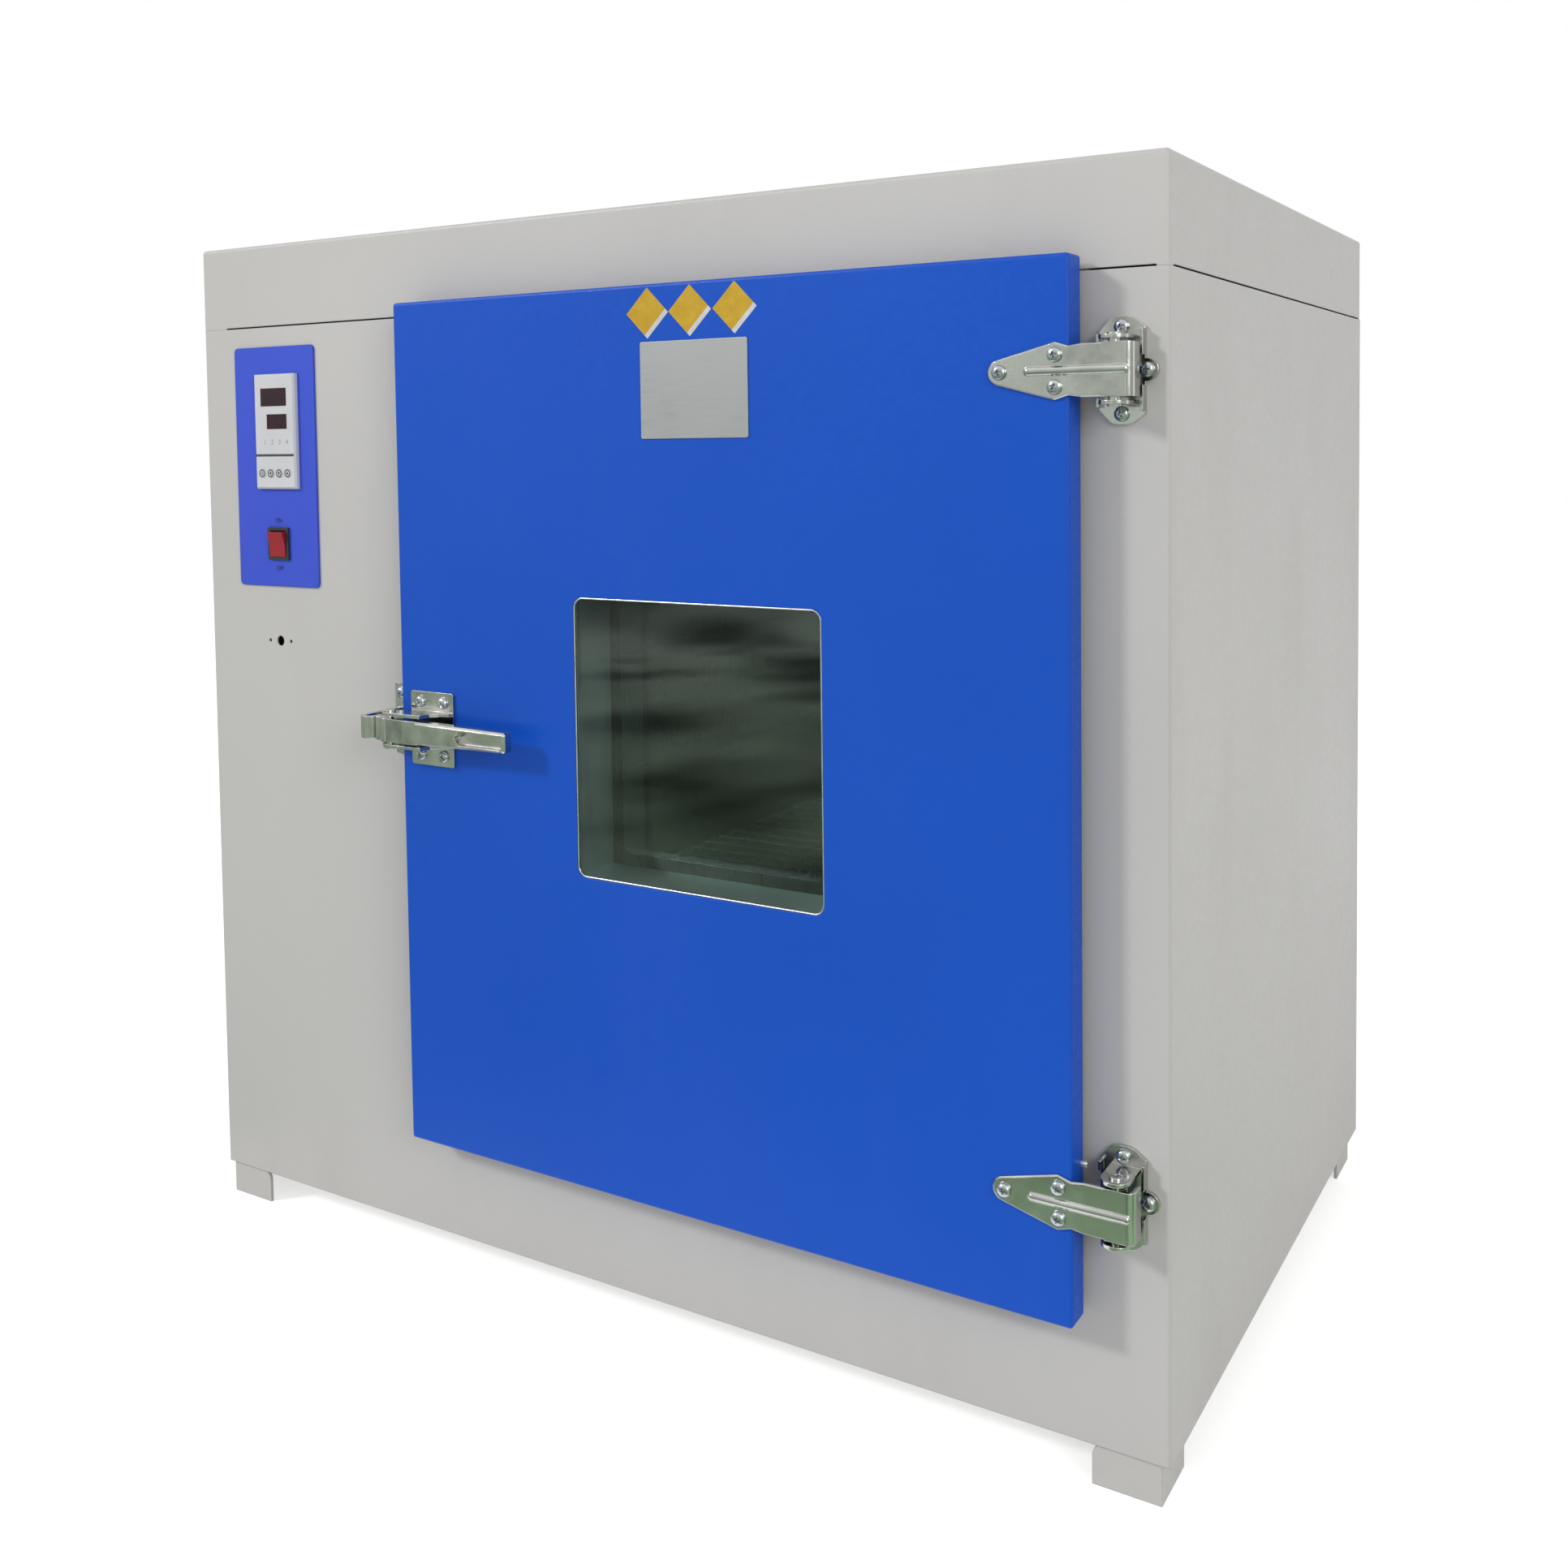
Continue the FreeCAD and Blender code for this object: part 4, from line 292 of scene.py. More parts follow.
# Back panel screws: eight zinc-plated pan head screws with a cross recess, turned into the casing's flanges.
# The same screw, in its larger size, holds the hinges, the latch and the keeper.
def geometry_tree(name, inputs):
    """A geometry tree with a geometry in and out, and named inputs."""
    tree = bpy.data.node_groups.new(name, "GeometryNodeTree")
    tree.interface.new_socket(name="Geometry", in_out="INPUT", socket_type="NodeSocketGeometry")
    tree.interface.new_socket(name="Geometry", in_out="OUTPUT", socket_type="NodeSocketGeometry")
    kinds = {float: "NodeSocketFloat", int: "NodeSocketInt", Vector: "NodeSocketVector", None: "NodeSocketMaterial"}
    for label, value in inputs.items():
        socket = tree.interface.new_socket(name=label, in_out="INPUT", socket_type=kinds[value if value is None else type(value)])
        if value is not None:
            socket.default_value = value
    return tree, tree.nodes.new("NodeGroupInput").outputs, tree.nodes.new("NodeGroupOutput").inputs


def fitted(name, mesh, body, slot, *stands_for):
    """A finished piece: it rides on a body and stands for CAD nodes. The slot is not used."""
    piece = bpy.data.objects.new(name, mesh)
    scene.collection.objects.link(piece)
    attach(piece, body)
    if stands_for:
        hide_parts(*stands_for)
    return piece


def grown(name, tree, places, settings, edges=()):
    """The plain mesh that a geometry tree makes from a few points."""
    seed = bpy.data.meshes.new(name + "_places")
    seed.from_pydata([tuple(p) for p in places], list(edges), [])
    maker = bpy.data.objects.new(name + "_places", seed)
    scene.collection.objects.link(maker)
    modifier = maker.modifiers.new("maker", "NODES")
    modifier.node_group = tree
    for item in tree.interface.items_tree:
        if item.item_type == "SOCKET" and item.in_out == "INPUT" and item.name in settings:
            modifier[item.identifier] = settings[item.name]
    made = bpy.data.meshes.new_from_object(maker.evaluated_get(bpy.context.evaluated_depsgraph_get()))
    made.name = name
    bpy.data.objects.remove(maker)
    bpy.data.meshes.remove(seed)
    return made


def smoothed(tree, geometry, angle):
    """Smooth shading that stops at edges sharper than an angle."""
    soft = place(tree, "GeometryNodeSetShadeSmooth", {"Geometry": geometry, "Shade Smooth": True}, domain="FACE").outputs[0]
    bends = place(tree, "GeometryNodeInputMeshEdgeAngle").outputs["Unsigned Angle"]
    sharp = place(tree, "FunctionNodeCompare", {0: bends, 1: angle}, operation="GREATER_THAN").outputs[0]
    return place(tree, "GeometryNodeSetShadeSmooth", {"Geometry": soft, "Selection": sharp, "Shade Smooth": False},
                 domain="EDGE").outputs[0]


screw_maker, given, gives = geometry_tree("cross_head_screw", {"Head Radius": 0.0047, "Head Height": 0.0032, "Facing": Vector((1.5708, 0, 0)),
                                                            "Seed": 3, "Finish": None})
rings = []
for radius, rise in ((0.96, 0.0), (1.0, 0.1), (0.99, 0.34), (0.9, 0.64), (0.7, 0.86), (0.42, 0.97), (0.2, 1.0)):
    ring = place(screw_maker, "GeometryNodeMeshCircle", {"Vertices": 32, "Radius": radius}).outputs[0]
    rings.append(place(screw_maker, "GeometryNodeTransform", {"Geometry": ring, "Translation": (0, 0, rise)}).outputs[0])
dome = place(screw_maker, "GeometryNodeJoinGeometry")
for ring in rings:
    screw_maker.links.new(ring, dome.inputs[0])
dome = place(screw_maker, "GeometryNodeConvexHull", {"Geometry": dome.outputs[0]}).outputs[0]
wing = place(screw_maker, "GeometryNodeMeshCone", {"Vertices": 4, "Radius Top": 0.78, "Radius Bottom": 0.3, "Depth": 0.8}).outputs["Mesh"]
wing = place(screw_maker, "GeometryNodeTransform", {"Geometry": wing, "Rotation": (0, 0, math.pi / 4)}).outputs[0]
cross = place(screw_maker, "GeometryNodeJoinGeometry")
for turn in (0.0, math.pi / 2):
    slim = place(screw_maker, "GeometryNodeTransform", {"Geometry": wing, "Translation": (0, 0, 0.38), "Scale": (1.0, 0.26, 1.0)}).outputs[0]
    slim = place(screw_maker, "GeometryNodeTransform", {"Geometry": slim, "Rotation": (0, 0, turn)}).outputs[0]
    screw_maker.links.new(slim, cross.inputs[0])
core = place(screw_maker, "GeometryNodeMeshCone", {"Vertices": 12, "Radius Top": 0.3, "Radius Bottom": 0.1, "Depth": 0.9}).outputs["Mesh"]
core = place(screw_maker, "GeometryNodeTransform", {"Geometry": core, "Translation": (0, 0, 0.32)}).outputs[0]
screw_maker.links.new(core, cross.inputs[0])
head = place(screw_maker, "GeometryNodeMeshBoolean", {0: dome, "Mesh 2": cross.outputs[0], "Self Intersection": True},
             operation="DIFFERENCE", solver="EXACT").outputs[0]
size = place(screw_maker, "ShaderNodeCombineXYZ", {0: given["Head Radius"], 1: given["Head Radius"], 2: given["Head Height"]}).outputs[0]
head = place(screw_maker, "GeometryNodeTransform", {"Geometry": smoothed(screw_maker, head, 0.5), "Scale": size}).outputs[0]
heads = place(screw_maker, "GeometryNodeInstanceOnPoints", {"Points": given["Geometry"], "Instance": head,
                                                       "Rotation": given["Facing"]}).outputs[0]
spin = place(screw_maker, "FunctionNodeRandomValue", {"Max": (0, 0, 1.5), "Seed": given["Seed"]}, data_type="FLOAT_VECTOR").outputs[0]
heads = place(screw_maker, "GeometryNodeRotateInstances", {"Instances": heads, "Rotation": spin, "Local Space": True}).outputs[0]
heads = place(screw_maker, "GeometryNodeRealizeInstances", {"Geometry": heads}).outputs[0]
heads = place(screw_maker, "GeometryNodeSetMaterial", {"Geometry": heads, "Material": given["Finish"]}).outputs[0]
screw_maker.links.new(heads, gives["Geometry"])

plating, given, gives = effect("bright_plating", {"Colour": (0.6, 0.6, 0.6, 1), "Roughness": 0.2},
                               {"Colour": tuple, "Roughness": float, "Height": float})
cloud = spots(plating, 55.0, 3.0)
pits = spread(plating, spots(plating, 2600.0, 1.0), 0.62, 0.75, 0.0, 1.0)
scuff = place(plating, "ShaderNodeMapping", {"Vector": place(plating, "ShaderNodeTexCoord").outputs["Object"],
                                          "Rotation": (0.3, 0.5, 0.9), "Scale": (260.0, 2400.0, 900.0)}).outputs[0]
scuff = spread(plating, spots(plating, 1.0, 2.0, scuff), 0.6, 0.8, 0.0, 1.0)
shade = sums(plating, (spread(plating, cloud, 0.3, 0.7, -1.0, 1.0), 0.08), (pits, -0.2))
shade = place(plating, "ShaderNodeMath", {0: shade, 1: 1.0}).outputs[0]
plating.links.new(tinted(plating, given["Colour"], shade), gives["Colour"])
plating.links.new(sums(plating, (given["Roughness"], 1.0), (spread(plating, cloud, 0.3, 0.7, -1.0, 1.0), 0.07), (scuff, 0.12)),
                  gives["Roughness"])
plating.links.new(sums(plating, (pits, -0.4), (scuff, 0.2), (cloud, 0.5)), gives["Height"])


def plated(name, colour, roughness, edge_colour, width=0.0006, wear=0.5, bump=0.00004):
    """Bright plating on steel: a little cloudy and scuffed, with rounded edges whose lighter edge colour is a painted
    highlight over a little wear.
    """
    made, tree, shader = finish_of(name, Metallic=1.0)
    skin = place(tree, "ShaderNodeGroup", node_tree=plating)
    skin.inputs["Colour"].default_value = (*colour, 1)
    skin.inputs["Roughness"].default_value = roughness
    edges = place(tree, "ShaderNodeGroup", node_tree=edge_wear_and_light)
    edges.inputs["Edge Colour"].default_value = (*edge_colour, 1)
    edges.inputs["Width"].default_value = width
    edges.inputs["Amount"].default_value = wear
    tree.links.new(skin.outputs["Colour"], edges.inputs["Colour"])
    tree.links.new(edges.outputs["Colour"], shader.inputs["Base Color"])
    tree.links.new(skin.outputs["Roughness"], shader.inputs["Roughness"])
    lumps = place(tree, "ShaderNodeBump", {"Height": skin.outputs["Height"], "Normal": edges.outputs["Normal"],
                                           "Strength": 0.5, "Distance": bump})
    tree.links.new(lumps.outputs[0], shader.inputs["Normal"])
    return made


screw_zinc = plated("screw_zinc", (0.52, 0.54, 0.57), 0.22, (0.85, 0.86, 0.88), 0.0002, 0.3)
back_places = [(x, 0.289, 0.027 + 0.731 / 4 * (row + 0.5)) for x in (-0.4158, 0.4158) for row in range(4)]
fitted("rear_screw_heads", grown("rear_screw_heads", screw_maker, back_places,
                                 {"Head Radius": 0.0038, "Head Height": 0.0024, "Facing": (-math.pi / 2, 0, 0),
                                  "Seed": 11, "Finish": screw_zinc}), "casing", "screws", "back_panel_screws")

# Cable gland: a black nylon inlet for the mains cable, bare, with a hexagonal nut on each side of the back panel.
moulding, given, gives = effect("moulded_skin", {"Colour": (0.1, 0.1, 0.1, 1), "Roughness": 0.5, "Grain": 1600.0},
                                {"Colour": tuple, "Roughness": float, "Height": float})
grain = spots(moulding, given["Grain"], 2.0)
cloud = spots(moulding, 24.0, 3.0)
shade = sums(moulding, (spread(moulding, grain, 0.3, 0.7, -1.0, 1.0), 0.05), (spread(moulding, cloud, 0.3, 0.7, -1.0, 1.0), 0.05))
shade = place(moulding, "ShaderNodeMath", {0: shade, 1: 1.0}).outputs[0]
moulding.links.new(tinted(moulding, given["Colour"], shade), gives["Colour"])
moulding.links.new(sums(moulding, (given["Roughness"], 1.0), (spread(moulding, grain, 0.3, 0.7, -1.0, 1.0), 0.06),
                        (spread(moulding, cloud, 0.3, 0.7, -1.0, 1.0), 0.05)), gives["Roughness"])
moulding.links.new(grain, gives["Height"])


def moulded(name, colour, roughness, edge_colour, bump=0.00005, grain=1600.0, width=0.0004, wear=0.4, **plain):
    """Moulded plastic: a fine matt grain, with edges in a lighter colour: a painted highlight over a little wear from
    handling.
    """
    made, tree, shader = finish_of(name, **plain)
    skin = place(tree, "ShaderNodeGroup", node_tree=moulding)
    skin.inputs["Colour"].default_value = (*colour, 1)
    skin.inputs["Roughness"].default_value = roughness
    skin.inputs["Grain"].default_value = grain
    edges = place(tree, "ShaderNodeGroup", node_tree=edge_wear_and_light)
    edges.inputs["Edge Colour"].default_value = (*edge_colour, 1)
    edges.inputs["Width"].default_value = width
    edges.inputs["Amount"].default_value = wear
    tree.links.new(skin.outputs["Colour"], edges.inputs["Colour"])
    tree.links.new(edges.outputs["Colour"], shader.inputs["Base Color"])
    tree.links.new(skin.outputs["Roughness"], shader.inputs["Roughness"])
    lumps = place(tree, "ShaderNodeBump", {"Height": skin.outputs["Height"], "Normal": edges.outputs["Normal"],
                                           "Strength": 0.5, "Distance": bump})
    tree.links.new(lumps.outputs[0], shader.inputs["Normal"])
    return made


black_nylon = moulded("black_nylon", (0.03, 0.03, 0.032), 0.5, (0.09, 0.09, 0.09))


def turned(name, profiles, finish, axis, where):
    """A turned piece. Each profile has a number of sides and its (radius, height) points: an open one is capped, a closed one is a ring."""
    mesh = bpy.data.meshes.new(name)
    corners, faces = [], []
    for sides, profile in profiles:
        ring = profile[0] == profile[-1]
        rows = profile[:-1] if ring else profile
        first, count = len(corners), len(rows)
        corners += [(radius * math.cos(2 * math.pi * i / sides), radius * math.sin(2 * math.pi * i / sides), rise)
                    for radius, rise in rows for i in range(sides)]
        if not ring:
            faces += [tuple(range(first + sides - 1, first - 1, -1)), tuple(range(first + (count - 1) * sides, first + count * sides))]
        for row in range(count if ring else count - 1):
            low, high = first + row * sides, first + (row + 1) % count * sides
            faces += [(low + i, low + (i + 1) % sides, high + (i + 1) % sides, high + i) for i in range(sides)]
    mesh.from_pydata(corners, [], faces)
    mesh.shade_smooth()
    mesh.set_sharp_from_angle(angle=0.6)
    mesh.transform(Matrix.Translation(where) @ Vector(axis).to_track_quat("Z", "Y").to_matrix().to_4x4())
    mesh.materials.append(finish)
    return mesh


sleeve_profile = [(0.005, 0.0), (0.0086, 0.0), (0.009, 0.0004), (0.009, 0.0172), (0.0102, 0.0172), (0.011, 0.0182), (0.011, 0.0312),
                  (0.0096, 0.0332), (0.0056, 0.0332), (0.005, 0.0326), (0.005, 0.0)]
nut_profiles = [(6, [(0.0089, low), (0.0122, low), (0.013, low + 0.0008), (0.013, low + 0.0052), (0.0122, low + 0.006),
                     (0.0089, low + 0.006), (0.0089, low)]) for low in (0.004, 0.0112)]
fitted("gland_fitting", turned("gland_fitting", [(36, sleeve_profile), *nut_profiles], black_nylon, (0, 1, 0), (-0.305, 0.2778, 0.137)),
       "casing", "controller_black", "cable_gland")

# Compartment: a galvanised partition, the stands under the chamber, and the plate that carries the motor.
# Rolled sheet shows fine lines along its length, which the brushed stainless steel of the chamber shares.
rolled, given, gives = effect("rolled_sheet", {"Colour": (0.6, 0.6, 0.6, 1), "Roughness": 0.3, "Lines": Vector((30.0, 900.0, 900.0)),
                                              "Spangle": 0.0}, {"Colour": tuple, "Roughness": float, "Height": float})
drawn = place(rolled, "ShaderNodeMapping", {"Vector": place(rolled, "ShaderNodeTexCoord").outputs["Object"], "Scale": given["Lines"]}).outputs[0]
lines = spots(rolled, 1.0, 3.0, drawn, 0.7)
flower = place(rolled, "ShaderNodeTexVoronoi", {"Vector": place(rolled, "ShaderNodeTexCoord").outputs["Object"], "Scale": 140.0}).outputs["Color"]
flower = place(rolled, "ShaderNodeSeparateColor", {0: flower}).outputs[0]
flower = place(rolled, "ShaderNodeMath", {0: spread(rolled, flower, 0.0, 1.0, -1.0, 1.0), 1: given["Spangle"]}, operation="MULTIPLY").outputs[0]
cloud = spots(rolled, 7.0, 4.0)
shade = sums(rolled, (spread(rolled, lines, 0.3, 0.7, -1.0, 1.0), 0.06), (spread(rolled, cloud, 0.3, 0.7, -1.0, 1.0), 0.05), (flower, 0.12))
shade = place(rolled, "ShaderNodeMath", {0: shade, 1: 1.0}).outputs[0]
rolled.links.new(tinted(rolled, given["Colour"], shade), gives["Colour"])
rolled.links.new(sums(rolled, (given["Roughness"], 1.0), (spread(rolled, lines, 0.3, 0.7, -1.0, 1.0), 0.08),
                      (spread(rolled, cloud, 0.3, 0.7, -1.0, 1.0), 0.06), (flower, 0.08)), gives["Roughness"])
rolled.links.new(lines, gives["Height"])


def sheet_steel(name, colour, roughness, lines, spangle=0.0, bump=0.00003, width=0.0005):
    """Bare sheet steel with the lines of its rolling, and cut edges in a lighter colour: bright bare steel and a
    painted highlight.
    """
    made, tree, shader = finish_of(name, Metallic=1.0)
    skin = place(tree, "ShaderNodeGroup", node_tree=rolled)
    skin.inputs["Colour"].default_value = (*colour, 1)
    skin.inputs["Roughness"].default_value = roughness
    skin.inputs["Lines"].default_value = lines
    skin.inputs["Spangle"].default_value = spangle
    edges = place(tree, "ShaderNodeGroup", node_tree=edge_wear_and_light)
    edges.inputs["Edge Colour"].default_value = (0.8, 0.8, 0.8, 1)
    edges.inputs["Width"].default_value = width
    tree.links.new(skin.outputs["Colour"], edges.inputs["Colour"])
    tree.links.new(edges.outputs["Colour"], shader.inputs["Base Color"])
    tree.links.new(skin.outputs["Roughness"], shader.inputs["Roughness"])
    lumps = place(tree, "ShaderNodeBump", {"Height": skin.outputs["Height"], "Normal": edges.outputs["Normal"],
                                           "Strength": 0.5, "Distance": bump})
    tree.links.new(lumps.outputs[0], shader.inputs["Normal"])
    return made


galvanised = sheet_steel("galvanised", (0.52, 0.53, 0.54), 0.42, (60.0, 60.0, 60.0), spangle=1.0)
given_finish(galvanised, "compartment_partition", "chamber_stands", "motor_bracket")

# Chamber: a stainless liner with a slotted floor plate, a duct plate in front of the fan and ledges for the shelves.
# Both steels get a dark, faintly green tone well below bare stainless: painted shade for the inside of the closed
# chamber.
chamber_steel = sheet_steel("chamber_steel", (0.36, 0.38, 0.36), 0.36, (900.0, 26.0, 900.0))
shaded_upright_steel = sheet_steel("shaded_upright_steel", (0.36, 0.38, 0.36), 0.34, (900.0, 900.0, 24.0))
given_finish(chamber_steel, "chamber_liner", "floor_plate", "shelf_rails", "exhaust_collar")
given_finish(shaded_upright_steel, "duct_plate", "fan_impeller")

# Insulation: yellowish glass wool slabs packed round the liner and inside the door.
wool, tree, shader = finish_of("glass_wool", Roughness=0.95, Specular_IOR_Level=0.1)
tangle = place(tree, "ShaderNodeMapping", {"Vector": place(tree, "ShaderNodeTexCoord").outputs["Object"], "Scale": (180.0, 60.0, 320.0)}).outputs[0]
fibres = spots(tree, 1.0, 6.0, tangle, 0.75)
tree.links.new(blended(tree, fibres, (0.55, 0.46, 0.22, 1), (0.82, 0.76, 0.52, 1)), shader.inputs["Base Color"])
tree.links.new(place(tree, "ShaderNodeBump", {"Height": fibres, "Distance": 0.002}).outputs[0], shader.inputs["Normal"])
given_finish(wool, "chamber_insulation", "door_insulation")

# Shelves: two lift-out wire shelves, each a bent rod frame with wires welded across it from side to side,
# and two stiffening wires under them. Nickel-plated steel.
shelf_maker, given, gives = geometry_tree("wire_shelf", {"Width": 0.398, "Depth": 0.38, "Rod": 0.003, "Wire": 0.0015, "Wires": 16,
                                                       "Finish": None})


def worked_out(kind, first, second):
    """One sum inside the shelf's tree."""
    return place(shelf_maker, "ShaderNodeMath", {0: first, 1: second}, operation=kind).outputs[0]


def point(x, y, z):
    return place(shelf_maker, "ShaderNodeCombineXYZ", {0: x, 1: y, 2: z}).outputs[0]


def wire(start, end):
    """A straight wire with closed ends."""
    line = place(shelf_maker, "GeometryNodeCurvePrimitiveLine", {"Start": start, "End": end}).outputs[0]
    return place(shelf_maker, "GeometryNodeCurveToMesh", {"Curve": line, "Profile Curve": wire_ring, "Fill Caps": True}).outputs[0]


between_x = worked_out("SUBTRACT", given["Width"], worked_out("MULTIPLY", given["Rod"], 2.0))
between_y = worked_out("SUBTRACT", given["Depth"], worked_out("MULTIPLY", given["Rod"], 2.0))
right_x, left_x = worked_out("MULTIPLY", between_x, 0.5), worked_out("MULTIPLY", between_x, -0.5)
rear_y, front_y = worked_out("MULTIPLY", between_y, 0.5), worked_out("MULTIPLY", between_y, -0.5)
rod_path = place(shelf_maker, "GeometryNodeCurvePrimitiveQuadrilateral", {"Width": between_x, "Height": between_y}).outputs[0]
rod_path = place(shelf_maker, "GeometryNodeFilletCurve", {"Curve": rod_path, "Count": 6, "Radius": 0.006}, mode="POLY").outputs[0]
rod_ring = place(shelf_maker, "GeometryNodeCurvePrimitiveCircle", {"Resolution": 16, "Radius": given["Rod"]}).outputs[0]
wire_ring = place(shelf_maker, "GeometryNodeCurvePrimitiveCircle", {"Resolution": 10, "Radius": given["Wire"]}).outputs[0]
shelf_parts = place(shelf_maker, "GeometryNodeJoinGeometry")
frame_rod = place(shelf_maker, "GeometryNodeCurveToMesh", {"Curve": rod_path, "Profile Curve": rod_ring}).outputs[0]
shelf_maker.links.new(frame_rod, shelf_parts.inputs[0])
wire_z = worked_out("SUBTRACT", given["Rod"], worked_out("MULTIPLY", given["Wire"], 0.5))
step = worked_out("DIVIDE", between_y, worked_out("ADD", given["Wires"], 1.0))
first = point(0.0, worked_out("ADD", front_y, step), 0.0)
row = place(shelf_maker, "GeometryNodeMeshLine", {"Count": given["Wires"], "Start Location": first, "Offset": point(0.0, step, 0.0)}).outputs[0]
across = wire(point(left_x, 0.0, wire_z), point(right_x, 0.0, wire_z))
shelf_maker.links.new(place(shelf_maker, "GeometryNodeInstanceOnPoints", {"Points": row, "Instance": across}).outputs[0], shelf_parts.inputs[0])
low_z = worked_out("SUBTRACT", wire_z, worked_out("MULTIPLY", given["Wire"], 1.6))
for share in (-1 / 6, 1 / 6):
    under_x = worked_out("MULTIPLY", between_x, share)
    shelf_maker.links.new(wire(point(under_x, front_y, low_z), point(under_x, rear_y, low_z)), shelf_parts.inputs[0])
welded = place(shelf_maker, "GeometryNodeRealizeInstances", {"Geometry": shelf_parts.outputs[0]}).outputs[0]
welded = place(shelf_maker, "GeometryNodeSetMaterial", {"Geometry": smoothed(shelf_maker, welded, 0.9), "Material": given["Finish"]}).outputs[0]
shelf_maker.links.new(welded, gives["Geometry"])
shelf_wire = plated("shelf_wire", (0.66, 0.66, 0.64), 0.24, (0.75, 0.75, 0.75), 0.0002, 0.2)
for name, body, level in (("upper_shelf", "upper_tray", 0.5853), ("lower_shelf", "lower_tray", 0.3003)):
    wires = grown(name + "_wires", shelf_maker, [(0, 0, 0)], {"Finish": shelf_wire})
    wires.transform(Matrix.Translation((0.127, -0.0118, level)))
    fitted(name + "_wires", wires, body, "chamber_steel", name)

# Heaters: three tubular elements in a U, darkened by heat, under the floor plate.
heater, tree, shader = finish_of("heater_oxide", Metallic=0.8)
burn = spots(tree, 22.0, 5.0, rough=0.6)
tree.links.new(blended(tree, spread(tree, burn, 0.35, 0.65, 0.0, 1.0), (0.10, 0.085, 0.075, 1), (0.24, 0.20, 0.17, 1)), shader.inputs["Base Color"])
tree.links.new(spread(tree, burn, 0.3, 0.7, 0.4, 0.7), shader.inputs["Roughness"])
tree.links.new(place(tree, "ShaderNodeBump", {"Height": spots(tree, 900.0, 3.0), "Distance": 0.0001}).outputs[0], shader.inputs["Normal"])
given_finish(heater, "heater_elements")

# Fan: a ribbed motor painted dark grey-green, whose shaft turns the wheel in the duct.
motor_green = enamelled("motor_green", (0.10, 0.125, 0.115), 0.5, (0.32, 0.33, 0.32), 0.08, 0.5, 0.0008, 0.3)
given_finish(motor_green, "fan_motor")
bright_steel = plated("bright_steel", (0.60, 0.60, 0.59), 0.22, (0.8, 0.8, 0.8))
given_finish(bright_steel, "fan_shaft", "temperature_probe")

# Exhaust: a short steel collar on the lid with a turning damper.
given_finish(bright_steel, "exhaust_damper")

# Terminal block: a strip of six screw terminals in pale grey plastic on the base.
terminal_grey = moulded("terminal_grey", (0.55, 0.54, 0.5), 0.5, (0.7, 0.7, 0.66))
given_finish(terminal_grey, "terminal_block")

# Control panel: a violet-blue coated plate let into the casing's front left.
# Its darker edge colour paints shade along the plate's edges.
panel_blue = enamelled("panel_blue", (0.041, 0.083, 0.59), 0.36, (0.012, 0.02, 0.26), 0.03, 0.8, 0.0012, 0.05, 0.25)
given_finish(panel_blue, "control_panel")

# Switch marks: ON above the rocker and OFF below it, printed on the panel in dark blue ink.
ink_blue, tree, shader = finish_of("ink_blue", Specular_IOR_Level=0.3)
wear = spread(tree, spots(tree, 900.0, 4.0, rough=0.7), 0.35, 0.6, 0.0, 1.0)
tree.links.new(blended(tree, wear, (0.006, 0.008, 0.05, 1), (0.012, 0.018, 0.12, 1)), shader.inputs["Base Color"])
tree.links.new(spread(tree, wear, 0.0, 1.0, 0.45, 0.6), shader.inputs["Roughness"])


def printed(name, words, finish, thickness=0.00006):
    """Printed marks that face forwards. Each has its text, its middle, its front and its height."""
    marks = bpy.data.meshes.new(name)
    joined = bmesh.new()
    for text, x, y, z, tall in words:
        line = bpy.data.curves.new(name + "_text", "FONT")
        line.body = text
        line.size = tall / 0.7
        line.align_x = "CENTER"
        line.align_y = "CENTER"
        line.extrude = thickness / 2
        line.offset = 0.00012
        line.resolution_u = 4
        writer = bpy.data.objects.new(name + "_text", line)
        flat = bpy.data.meshes.new_from_object(writer)
        flat.transform(Matrix.Translation((x, y, z)) @ Matrix.Rotation(math.pi / 2, 4, "X"))
        joined.from_mesh(flat)
        bpy.data.objects.remove(writer)
        bpy.data.curves.remove(line)
        bpy.data.meshes.remove(flat)
    bmesh.ops.remove_doubles(joined, verts=joined.verts, dist=0.000005)
    joined.to_mesh(marks)
    joined.free()
    marks.materials.append(finish)
    return marks


fitted("switch_marks", printed("switch_marks", [("ON", -0.3365, -0.2625, 0.5958, 0.0036), ("OFF", -0.3365, -0.2625, 0.5555, 0.0036)],
                               ink_blue), "casing", "controller_black")

# Controller: a white 48 x 96 mm face in its cut-out, with two dark red display windows and four round keys.
# It is moulded plastic, with a printed rule and marks. Its clips hold it from behind the panel.
case_black = moulded("case_black", (0.02, 0.02, 0.022), 0.45, (0.06, 0.06, 0.06))
face_white = moulded("face_white", (0.58, 0.585, 0.61), 0.38, (0.76, 0.76, 0.78), 0.00002, 2200.0, 0.0006, 0.5)
given_finish(case_black, "controller_case")
given_finish(face_white, "controller_bezel")
display_red, tree, shader = finish_of("display_red", Specular_IOR_Level=0.25)
haze = spots(tree, 120.0, 3.0)
tree.links.new(blended(tree, haze, (0.024, 0.010, 0.014, 1), (0.040, 0.019, 0.026, 1)), shader.inputs["Base Color"])
tree.links.new(spread(tree, haze, 0.3, 0.7, 0.12, 0.24), shader.inputs["Roughness"])
given_finish(display_red, "upper_display", "lower_display")
key_grey = moulded("key_grey", (0.60, 0.60, 0.62), 0.42, (0.74, 0.74, 0.75), 0.00002, 2600.0, 0.0003)
given_finish(key_grey, "key_1", "key_2", "key_3", "key_4")


